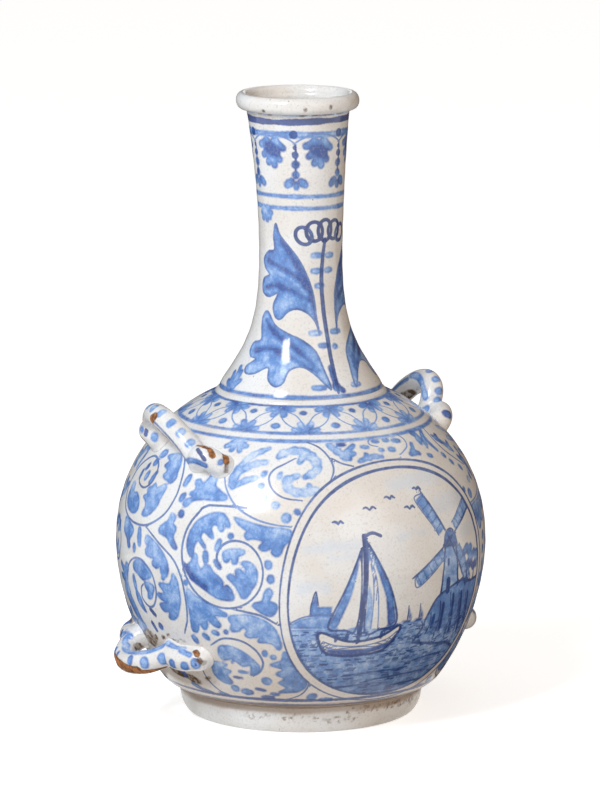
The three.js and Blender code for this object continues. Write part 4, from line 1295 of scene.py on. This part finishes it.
def clay_tint_and_shade(tree, colours, noise, height, warmth, colour):
    """Clay that shows through, and painted shade. Low on the body the glaze ran thin, and the warm tint
    there, darker downwards, also paints the shade where the light falls off, on white and blue alike. Where
    the foot was luted on the glaze was wiped thinner still: the brown band there is the clay, and painted
    shade and dark reflection in the crease under the body"""
    patches = add(tree, RANGE, {"Value": noise["clouds"], "To Min": -0.25, "To Max": 0.25}).outputs[0]
    # Warmer and darker towards the bottom: thin glaze, and painted shade where the light falls off
    low = add(tree, RANGE, {"Value": height, "From Min": 0.09, "From Max": 0.015}, **EASED).outputs[0]
    patchy = add(tree, MATH, {0: low, 1: patches}, operation="ADD").outputs[0]
    warm = add(tree, MATH, {0: patchy, 1: warmth}, operation="MULTIPLY").outputs[0]
    colour = add(tree, MIX, {0: warm, 6: colour, 7: colours["glaze_warm"]}, **TINTED).outputs[2]
    wandering = add(tree, MATH, {
        0: noise["clouds"], 1: 4 * MM, 2: height}, operation="MULTIPLY_ADD").outputs[0]
    above = add(tree, RANGE, {
        "Value": wandering, "From Min": JOINT_BAND_AND_SHADE[0] * MM, "From Max": (JOINT_BAND_AND_SHADE[0] + 2.5) * MM},
        **EASED).outputs[0]
    under = add(tree, RANGE, {
        "Value": wandering, "From Min": JOINT_BAND_AND_SHADE[1] * MM, "From Max": (JOINT_BAND_AND_SHADE[1] - 2) * MM, "To Max": 0.65},
        **EASED).outputs[0]
    # The brown band is the clay where the foot was luted on, and also painted shade and dark reflection in
    # the crease under the body
    luted = add(tree, MATH, {0: above, 1: under}, operation="MULTIPLY").outputs[0]
    return add(tree, MIX, {0: luted, 6: colour, 7: colours["glaze_brown"]}, **TINTED).outputs[2]


def pinholes(tree, place):
    """Holes where the clay breathed: a few cells hold one each, drawn a little larger than life to show"""
    cells = add(tree, "ShaderNodeTexVoronoi", {"Vector": place, "Scale": per_metre(7.5)})
    lot = add(tree, "ShaderNodeSeparateColor", {"Color": cells.outputs["Color"]}).outputs["Red"]
    chosen = add(tree, MATH, {0: lot, 1: 0.72}, operation="GREATER_THAN").outputs[0]
    return add(tree, RANGE, {
        "Value": cells.outputs["Distance"], "From Min": 0.06, "From Max": 0.03, "To Max": chosen},
        **EASED).outputs[0]


def dirt_and_shade(tree, colours, noise, colour):
    """Dirt in joints and cracks, and painted shade inside and under the loops, in the crease above the
    foot and on the foot's right, broken up in patches
    """
    grime_and_shade = add(tree, "ShaderNodeAttribute", attribute_name="grime_and_shade").outputs["Fac"]
    broken = add(tree, RANGE, {"Value": noise["fine"], "To Min": -1.3, "To Max": 1.3}).outputs[0]
    edge = add(tree, MATH, {0: grime_and_shade, 1: broken}, operation="ADD").outputs[0]
    patchy = add(tree, RANGE, {
        "Value": noise["lumps"], "From Min": 0.38, "From Max": 0.62, "To Min": 0.96, "To Max": 0.5},
        **EASED).outputs[0]
    stain_and_shade = add(tree, RANGE, {
        "Value": edge, "From Min": 0.7, "From Max": -0.7, "To Max": patchy}, **EASED).outputs[0]
    return add(tree, MIX, {0: stain_and_shade, 6: colour, 7: colours["grime_and_shade"]}, **OVER).outputs[2]


def clay_chips(tree, colours, noise, colour, gloss, relief):
    """Chips down to the fired clay, which is matt, lumpy and sunk, with dirt in their broken edge"""
    chip = add(tree, "ShaderNodeAttribute", attribute_name="chip").outputs["Fac"]
    crumbled = add(tree, RANGE, {"Value": noise["fine"], "To Min": -1.1, "To Max": 1.1}).outputs[0]
    edge = add(tree, MATH, {0: chip, 1: crumbled}, operation="ADD").outputs[0]
    bare = add(tree, RANGE, {"Value": edge, "From Min": 0.2, "From Max": -0.2}, **EASED).outputs[0]
    fired = add(tree, RANGE, {"Value": noise["lumps"], "From Min": 0.4, "From Max": 0.65}, **EASED).outputs[0]
    clay = add(tree, MIX, {0: fired, 6: colours["clay"], 7: colours["clay_dark"]}, **OVER).outputs[2]
    colour = add(tree, MIX, {0: bare, 6: colour, 7: clay}, **OVER).outputs[2]
    off_edge = add(tree, MATH, {0: edge}, operation="ABSOLUTE").outputs[0]
    dirty = add(tree, RANGE, {
        "Value": off_edge, "From Min": 0.6, "From Max": 0.0, "To Max": 0.6}, **EASED).outputs[0]
    colour = add(tree, MIX, {0: dirty, 6: colour, 7: colours["grime_and_shade"]}, **OVER).outputs[2]
    gloss = add(tree, MATH, {0: bare, 1: 0.6, 2: gloss}, operation="MULTIPLY_ADD").outputs[0]
    relief = add(tree, MATH, {0: bare, 1: -2.0, 2: relief}, operation="MULTIPLY_ADD").outputs[0]
    return colour, gloss, relief


def tin_glaze(name, colours, roughness, warmth, painted=True, chipped=False):
    """Tin glaze over earthenware, dipped and fired glossy, with cobalt painted into it: opaque cream white of
    cloudy depth with pinholes, and blue that pools dark at the edge of each stroke"""
    material = bpy.data.materials.new(name)
    material.use_nodes = True
    tree = material.node_tree
    tree.nodes.clear()
    place = add(tree, "ShaderNodeTexCoord").outputs["Object"]
    height = add(tree, "ShaderNodeSeparateXYZ", {"Vector": place}).outputs["Z"]
    # Each noise has features of a size in millimetres, a detail and a roughness
    noise = {label: add(tree, NOISE, {
        "Vector": place, "Scale": per_metre(size), "Detail": detail, "Roughness": rough}).outputs[0]
        for label, size, detail, rough in (
            ("clouds", 38, 3, 0.55), ("fine", 2.2, 4, 0.65), ("grains", 1.4, 2, 0.7),
            ("ripples", 5, 2, 0.55), ("lumps", 3, 3, 0.55))}
    colour = glaze_ground(tree, colours, noise)
    if painted:
        colour = cobalt_paint(tree, colours, noise, place, colour)
    colour = clay_tint_and_shade(tree, colours, noise, height, warmth, colour)
    hole = pinholes(tree, place)
    pitted = add(tree, MATH, {0: hole, 1: 0.8}, operation="MULTIPLY").outputs[0]
    colour = add(tree, MIX, {0: pitted, 6: colour, 7: colours["pinhole"]}, **OVER).outputs[2]
    colour = dirt_and_shade(tree, colours, noise, colour)
    # The body is more rubbed by hands than the neck, so its shine is softer
    rubbed = add(tree, RANGE, {
        "Value": height, "From Min": 0.195, "From Max": 0.165, "To Max": 0.14}, **EASED).outputs[0]
    gloss = add(tree, MATH, {
        0: rubbed, 1: noise["clouds"], 2: roughness}, operation="MULTIPLY_ADD").outputs[0]
    waves = add(tree, MATH, {0: noise["ripples"], 1: 0.5}, operation="MULTIPLY").outputs[0]
    relief = add(tree, MATH, {0: waves, 1: hole}, operation="SUBTRACT").outputs[0]
    if chipped:
        colour, gloss, relief = clay_chips(tree, colours, noise, colour, gloss, relief)
    bump = add(tree, "ShaderNodeBump", {"Strength": 0.35, "Distance": 0.12 * MM, "Height": relief}).outputs[0]
    shader = add(tree, "ShaderNodeBsdfPrincipled", {
        "IOR": 1.5, "Metallic": 0.0, "Base Color": colour, "Roughness": gloss, "Normal": bump}).outputs[0]
    add(tree, "ShaderNodeOutputMaterial", {"Surface": shader})
    return material


# The glaze of each slot: its material's name and what sets it apart
GLAZES = {
    # Shiny white with blue in it, softer low on the body, and warmer there for thin glaze and painted shade
    "painted_glaze": dict(name="tin_glaze_painted", roughness=0.13, warmth=0.8),
    # Unpainted white with fine specks, for foot, band and lip
    "plain_glaze": dict(name="tin_glaze_plain", roughness=0.16, warmth=0.0, painted=False),
    # A coil's glaze, knocked off where the coil stands out, with matt orange clay below
    "worn_glaze": dict(name="tin_glaze_worn", roughness=0.16, warmth=0.1, chipped=True),
}


def glaze_for(slot):
    """The glaze material of a slot, made once"""
    glaze = GLAZES[slot]
    held = bpy.data.materials.get(glaze["name"])
    if held:
        return held
    settings = bpy.context.scene.bottle_colours
    colours = {key: tuple(getattr(settings, key)) + (1,) for key in GlazeColours.__annotations__}
    return tin_glaze(colours=colours, **glaze)


# Settings in the sidebar


def colour_property(label, description, code):
    """A colour that a user may change, with its default as sRGB hex"""
    return FloatVectorProperty(name=label, description=description, subtype="COLOR", size=3, min=0, max=1,
                               default=linear(code)[:3])


class GlazeColours(PropertyGroup):
    """The glaze, the cobalt in its strengths and the clay under them"""
    glaze_white: colour_property("Glaze white", "Tin glaze where it lies thick", "#F0F1F0")
    glaze_cream: colour_property("Glaze cream", "Tin glaze where it lies thin", "#EAE6DF")
    # This tint stands for thin glaze and also paints the shade low on the body
    glaze_warm: colour_property("Glaze near the foot", "Tint of the glaze low on the body", "#E2D6CB")
    # This brown stands for clay at the foot's joint and also paints the shade and dark reflection in the
    # crease under the body
    glaze_brown: colour_property("Glaze at the foot's joint", "Tint where the foot was luted on", "#B79A80")
    glaze_shade: colour_property("Glaze specks", "Fine grey specks in the glaze", "#B9B4AE")
    cobalt_thin: colour_property("Thinnest cobalt", "A wash of much water", "#D3E2F4")
    cobalt_light: colour_property("Light cobalt", "A thin wash", "#A3C3EE")
    cobalt_middle: colour_property("Middle cobalt", "The usual wash", "#5B90D6")
    cobalt_dark: colour_property("Dark cobalt", "A wash laid twice", "#244F9E")
    cobalt_line: colour_property("Light line", "A thin drawn line", "#7FA2DC")
    cobalt_ink: colour_property("Dark line", "A full drawn line", "#203C7E")
    pinhole: colour_property("Pinhole", "Clay seen through a pinhole", "#64422E")
    # This brown is dirt and also paints shade inside and under the loops, in the crease above the foot and on
    # the foot's right
    grime_and_shade: colour_property("Grime", "Dirt in cracks and joints", "#5C3E16")
    clay: colour_property("Clay", "Fired clay where the glaze is chipped", "#B97A46")
    clay_dark: colour_property("Dark clay", "Dirty fired clay", "#6E4427")


class BottleSizes(PropertyGroup):
    """How finely the pieces are meshed"""
    globe_spacing: FloatProperty(name="Globe spacing", description="Distance between the globe's mesh points",
                                 unit="LENGTH", min=0.0005, max=0.01, default=0.00125)
    neck_spacing: FloatProperty(name="Neck spacing", description="Distance between the neck's mesh points",
                                unit="LENGTH", min=0.0003, max=0.01, default=0.0007)
    coil_spacing: FloatProperty(name="Coil spacing", description="Distance between the coils' mesh points",
                                unit="LENGTH", min=0.0003, max=0.01, default=0.0007)


# Pieces


class BOTTLE_OT_foot_ring(Operator):
    """Makes the plain glazed foot ring"""
    bl_idname = "bottle.foot_ring"
    bl_label = "Foot ring"

    def execute(self, context):
        inner = FOOT_RADIUS - FOOT_WALL
        contact = FOOT_RADIUS - FOOT_ROUNDING
        inside = wall_points(FOOT_TOP, FOOT_EDGE_HEIGHT, FOOT_INSIDE_STEP, lambda z: np.full_like(z, inner))
        rounding = oval_points(contact, FOOT_ROUNDING_HEIGHT, FOOT_ROUNDING, FOOT_ROUNDING_HEIGHT, -88, 0, 22)
        flat = [[inner + FOOT_EDGE_WIDTH, 0.0], [contact - 0.4, 0.0]]
        outline = np.vstack([inside, flat, rounding, [[FOOT_RADIUS, FOOT_TOP]]])
        sheet = Sheet(outline, FOOT_COLUMNS, len(outline) - len(rounding) - 1, len(outline))
        chance = random.Random(SEED)
        # Specks of dirt round the foot; the dense patch of 80 at azimuth 10 also paints the shade on the
        # foot's right
        for azimuth, height, count, spread, half in (
                (-49, 10.0, 26, 26, 0.3), (-34, 9.0, 14, 16, 0.28), (-15, 8.4, 24, 18, 0.32),
                (10, 12.5, 80, 44, 0.36), (60, 10, 60, 70, 0.3), (150, 9, 60, 90, 0.3)):
            for _ in range(count):
                at = (azimuth + chance.uniform(-spread, spread) / 2, height + chance.uniform(-2.2, 2.2))
                dab(sheet, at, chance.uniform(0.6, 2.6), half, chance.uniform(-25, 25), layer="grime_and_shade")
        dress(build("foot", sheet), "foot_ring", "plain_glaze")
        return {"FINISHED"}


class BOTTLE_OT_globe(Operator):
    """Makes the globe with its panel, scrolls and collar"""
    bl_idname = "bottle.globe"
    bl_label = "Globe"

    def execute(self, context):
        spacing = context.scene.bottle_sizes.globe_spacing / MM
        columns = round(2 * math.pi * BELLY_RADIUS / spacing / 8) * 8
        seat = FOOT_RADIUS + BASE_LEDGE
        tuck = FOOT_TOP + TUCK_HEIGHT
        tuck_radius = float(globe_radius(tuck))
        floor = FOOT_TOP + GLOBE_FLOOR
        under = [[radius, FOOT_TOP + PUSH_UP * share] for radius, share in PUSH_UP_SHARES]
        under += [[FOOT_RADIUS - FOOT_WALL, FOOT_TOP], [seat - 1, FOOT_TOP]]
        bulge = [(seat + tuck_radius) / 2 + TUCK_BULGE, FOOT_TOP + TUCK_HEIGHT / 2]
        rounding = smooth([[seat, FOOT_TOP], bulge, [tuck_radius, tuck]], 5)
        outside = wall_points(tuck, GLOBE_TOP, spacing, globe_radius)[1:]
        bore = NECK_BASE_RADIUS - NECK_WALL
        inside = wall_points(GLOBE_TOP - MOUTH_BEVEL, floor + FLOOR_CORNER, GLOBE_INSIDE_STEP,
                             lambda z: globe_radius(z, GLOBE_WALL))
        corner = [float(inside[-1, 0]) - FLOOR_CORNER, floor]
        outline = np.vstack([under, rounding, outside, [[bore, GLOBE_TOP]], inside, [corner, [0, floor]]])
        start = len(under)
        sheet = Sheet(outline, columns, start, start + len(rounding) + len(outside))
        paint_globe(sheet)
        dress(build("globe_body", sheet, looped=False), "globe", "painted_glaze")
        return {"FINISHED"}


class BOTTLE_OT_neck_band(Operator):
    """Makes the white band where the neck is luted on"""
    bl_idname = "bottle.neck_band"
    bl_label = "Neck band"

    def execute(self, context):
        bore = NECK_BASE_RADIUS - NECK_WALL
        share = np.linspace(0, 1, 9)
        crown = np.column_stack([
            NECK_BASE_RADIUS + BAND_SLOPE * (1 - share) + BAND_CROWN * np.sin(np.pi * share),
            GLOBE_TOP + (NECK_SEAT - GLOBE_TOP) * share])
        outline = np.vstack([[[bore, GLOBE_TOP]], crown, [[bore, NECK_SEAT]]])
        sheet = Sheet(outline, BAND_COLUMNS, 1, 1 + len(crown))
        dress(build("band", sheet), "neck_band", "plain_glaze")
        return {"FINISHED"}


class BOTTLE_OT_neck(Operator):
    """Makes the trumpet neck with its plants and swags"""
    bl_idname = "bottle.neck"
    bl_label = "Neck"

    def execute(self, context):
        spacing = context.scene.bottle_sizes.neck_spacing / MM
        outside = wall_points(NECK_SEAT, NECK_TOP, spacing, neck_radius)
        inside = wall_points(NECK_TOP, NECK_SEAT, NECK_INSIDE_STEP, lambda z: neck_radius(z) - NECK_WALL)
        sheet = Sheet(np.vstack([outside, inside]), NECK_COLUMNS, 0, len(outside))
        paint_neck(sheet)
        dress(build("neck_tube", sheet), "neck", "painted_glaze")
        return {"FINISHED"}


class BOTTLE_OT_lip_roll(Operator):
    """Makes the rolled lip"""
    bl_idname = "bottle.lip_roll"
    bl_label = "Rolled lip"

    def execute(self, context):
        half = LIP_ROLL_WIDTH / 2
        tall = (LIP_TOP - NECK_TOP) / 2
        middle = LIP_RADIUS - half
        first = math.degrees(math.atan2(-tall, NECK_TOP_RADIUS - middle))
        roll = oval_points(middle, NECK_TOP + tall, half, tall, first + 6, 180, 30)
        outline = np.vstack([[[NECK_TOP_RADIUS - NECK_WALL, NECK_TOP], [NECK_TOP_RADIUS, NECK_TOP]], roll])
        underside = len(outline) - len(roll)
        sheet = Sheet(outline, LIP_COLUMNS, underside, underside + LIP_PAINTED_ROWS)
        for azimuth, height in ((-68, 352.5), (-27, 354), (-2, 355), (60, 353), (150, 354), (-150, 352)):
            dab(sheet, (azimuth, height), 2.3, 1.15, 0, layer="grime_and_shade")
        dress(build("lip", sheet), "lip_roll", "plain_glaze")
        return {"FINISHED"}


class BOTTLE_OT_loops(Operator):
    """Makes the four coil loops for the cord"""
    bl_idname = "bottle.loops"
    bl_label = "Coil loops"

    def execute(self, context):
        spacing = context.scene.bottle_sizes.coil_spacing / MM
        for node, loop in LOOPS.items():
            name = node.replace("handle", "loop")
            mesh, co, lines = make_loop(name, loop, spacing)
            layers = mark_loop(LOOP_MARKS[node], co, lines)
            inwards = nearest_middle(co, lines) - co
            inwards /= np.linalg.norm(inwards, axis=1)[:, None] + 1e-6
            co += inwards * (CHIP_DEPTH * np.clip(0.5 - layers["chip"] / CHIP_SLOPE, 0, 1))[:, None]
            mesh.vertices.foreach_set("co", (co * MM).ravel())
            mesh.shade_smooth()
            keep_layers(mesh, layers)
            dress(linked(name, mesh), node, "worn_glaze")
        return {"FINISHED"}


# Stage

# The photo's view: the camera's place and lens, and how far it looks past the point that it stands round
CAMERA_AZIMUTH = -34
CAMERA_ELEVATION = 10.6
CAMERA_DISTANCE = 3.24
CAMERA_LENS = 253.1
AIM = (0, 0, 0.180)
AIM_RIGHT = -0.46 * MM
AIM_UP = 1.09 * MM

FLOOR_REACH = 8
FLOOR_GLOW = 0.7
ROOM_LEVEL = 0.42
CARD_HEIGHT = 0.7
# Corners of the cards as (turn from the camera's azimuth, distance from the bottle)
STANDING_CARD = ((176, 0.3), (112, 0.7))
LYING_CARD = ((40, 0.1), (40, 0.45), (90, 0.5), (150, 0.45), (150, 0.1), (95, 0.1))
# Lamps as name, turn from the camera's azimuth, elevation, distance, width, height, watts and colour
LAMPS = (("window", -34, 40, 2.5, 0.55, 0.75, 41, "#F4F8FF"), ("fill", 42, 22, 2.6, 1.6, 1.6, 11, "#FFE8D0"))


def from_sphere(azimuth, elevation, distance, centre):
    """A point at an azimuth, elevation and distance from a centre"""
    a, e = math.radians(azimuth), math.radians(elevation)
    return Vector(centre) + distance * Vector(
        (math.sin(a) * math.cos(e), -math.cos(a) * math.cos(e), math.sin(e)))


def seen_rays(tree):
    """1 for rays from the camera, off gloss and through glass, 0 for rays that bring light to the object"""
    path = add(tree, "ShaderNodeLightPath").outputs
    seen = add(tree, MATH, {
        0: path["Is Camera Ray"], 1: path["Is Glossy Ray"]}, operation="MAXIMUM").outputs[0]
    return add(tree, MATH, {0: seen, 1: path["Is Transmission Ray"]}, operation="MAXIMUM").outputs[0]


def lay_floor():
    """A floor of pale matt card that is seen as white and keeps the bottle's shadow"""
    mesh = bpy.data.meshes.new("floor")
    corners = [(x * FLOOR_REACH, y * FLOOR_REACH, 0) for x, y in ((-1, -1), (1, -1), (1, 1), (-1, 1))]
    mesh.from_pydata(corners, [], [(0, 1, 2, 3)])
    linked("floor", mesh)
    paper = bpy.data.materials.new("pale_card_floor")
    paper.use_nodes = True
    tree = paper.node_tree
    tree.nodes.clear()
    glowing = add(tree, MATH, {0: seen_rays(tree), 1: FLOOR_GLOW}, operation="MULTIPLY").outputs[0]
    matt = add(tree, "ShaderNodeBsdfDiffuse", {"Color": linear("#ECEAE7")}).outputs[0]
    glow = add(tree, "ShaderNodeEmission", {"Color": (1, 1, 1, 1), "Strength": glowing}).outputs[0]
    both = add(tree, "ShaderNodeAddShader", {0: matt, 1: glow}).outputs[0]
    add(tree, "ShaderNodeOutputMaterial", {"Surface": both})
    mesh.materials.append(paper)


def light_room(scene):
    """A room seen as white, whose light is pale on the left and wood brown on the right"""
    world = bpy.data.worlds.new("studio")
    world.use_nodes = True
    scene.world = world
    tree = world.node_tree
    tree.nodes.clear()
    seen = seen_rays(tree)
    way = add(tree, "ShaderNodeTexCoord").outputs["Generated"]
    right = from_sphere(CAMERA_AZIMUTH + 90, 0, 1, (0, 0, 0))
    across = add(tree, "ShaderNodeVectorMath", {
        0: way, 1: right}, operation="DOT_PRODUCT").outputs["Value"]
    wooden = add(tree, RANGE, {"Value": across, "From Min": -0.3, "From Max": 0.8}, **EASED).outputs[0]
    room = add(tree, MIX, {0: wooden, 6: linear("#F4F8FC"), 7: linear("#C2A688")}, **OVER).outputs[2]
    colour = add(tree, MIX, {0: seen, 6: room, 7: (1, 1, 1, 1)}, **OVER).outputs[2]
    level = add(tree, MATH, {0: seen, 1: ROOM_LEVEL}, operation="MAXIMUM").outputs[0]
    light = add(tree, "ShaderNodeBackground", {"Color": colour, "Strength": level}).outputs[0]
    add(tree, "ShaderNodeOutputWorld", {"Surface": light})


def place_cards():
    """Dark felt cards, seen only in the gloss: on each side one stands behind and one lies beside the foot"""
    for hand, code in ((-1, "#2E2622"), (1, "#4A3020")):
        felt = bpy.data.materials.new("dark_felt")
        felt.use_nodes = True
        shader = felt.node_tree.nodes["Principled BSDF"]
        shader.inputs["Base Color"].default_value = linear(code)
        shader.inputs["Roughness"].default_value = 0.9
        near, far = (from_sphere(CAMERA_AZIMUTH + hand * turn, 0, distance, (0, 0, 0))
                     for turn, distance in STANDING_CARD)
        raised = Vector((0, 0, CARD_HEIGHT))
        standing = [near, far, far + raised, near + raised]
        lying = [from_sphere(CAMERA_AZIMUTH + hand * turn, 0, distance, (0, 0, MM))
                 for turn, distance in LYING_CARD]
        for name, corners in (("standing_card", standing), ("lying_card", lying)):
            mesh = bpy.data.meshes.new(name)
            mesh.from_pydata(corners, [], [list(range(len(corners)))])
            mesh.materials.append(felt)
            card = linked(name, mesh)
            card.visible_camera = False
            card.visible_diffuse = False
            card.visible_shadow = False


def hang_lamps():
    """A window on the left and a wide soft fill from the right, both turned to the bottle"""
    for name, turn, elevation, distance, width, height, power, code in LAMPS:
        light = bpy.data.lights.new(name, "AREA")
        light.shape = "RECTANGLE"
        light.size = width
        light.size_y = height
        light.energy = power
        light.color = linear(code)[:3]
        lamp = linked(name, light)
        lamp.location = from_sphere(CAMERA_AZIMUTH + turn, elevation, distance, AIM)
        lamp.rotation_euler = (Vector(AIM) - lamp.location).to_track_quat("-Z", "Y").to_euler()


def set_camera(scene):
    """The photo's camera"""
    lens = bpy.data.cameras.new("camera")
    lens.lens = CAMERA_LENS
    lens.clip_end = 40
    camera = linked("camera", lens)
    camera.location = from_sphere(CAMERA_AZIMUTH, CAMERA_ELEVATION, CAMERA_DISTANCE, AIM)
    straight = (Vector(AIM) - camera.location).normalized()
    right = straight.cross(Vector((0, 0, 1))).normalized()
    up = right.cross(straight)
    aim = Vector(AIM) + right * AIM_RIGHT + up * AIM_UP
    camera.rotation_euler = (aim - camera.location).to_track_quat("-Z", "Y").to_euler()
    scene.camera = camera


class BOTTLE_OT_stage(Operator):
    """Makes the white floor, the soft lamps and the camera"""
    bl_idname = "bottle.stage"
    bl_label = "Stage"

    def execute(self, context):
        lay_floor()
        light_room(context.scene)
        place_cards()
        hang_lamps()
        set_camera(context.scene)
        context.scene.view_settings.view_transform = "Standard"
        return {"FINISHED"}


PIECES = (BOTTLE_OT_foot_ring, BOTTLE_OT_globe, BOTTLE_OT_neck_band, BOTTLE_OT_neck, BOTTLE_OT_lip_roll,
          BOTTLE_OT_loops, BOTTLE_OT_stage)


class BOTTLE_PT_panel(Panel):
    """The bottle's settings and pieces"""
    bl_label = "Tin-glazed bottle"
    bl_space_type = "VIEW_3D"
    bl_region_type = "UI"
    bl_category = "Bottle"

    def draw(self, context):
        for settings in (context.scene.bottle_sizes, context.scene.bottle_colours):
            for key in type(settings).__annotations__:
                self.layout.prop(settings, key)
        for piece in PIECES:
            self.layout.operator(piece.bl_idname)


CLASSES = (GlazeColours, BottleSizes, *PIECES, BOTTLE_PT_panel)


def register():
    """Makes the classes and the settings known to Blender"""
    for cls in CLASSES:
        bpy.utils.register_class(cls)
    bpy.types.Scene.bottle_colours = PointerProperty(type=GlazeColours)
    bpy.types.Scene.bottle_sizes = PointerProperty(type=BottleSizes)


def unregister():
    """Takes them away again"""
    del bpy.types.Scene.bottle_sizes
    del bpy.types.Scene.bottle_colours
    for cls in reversed(CLASSES):
        bpy.utils.unregister_class(cls)


def main():
    """Makes the whole bottle on its stage"""
    register()
    bpy.ops.bottle.foot_ring()
    bpy.ops.bottle.globe()
    bpy.ops.bottle.neck_band()
    bpy.ops.bottle.neck()
    bpy.ops.bottle.lip_roll()
    bpy.ops.bottle.loops()
    bpy.ops.bottle.stage()


if __name__ == "__main__":
    main()
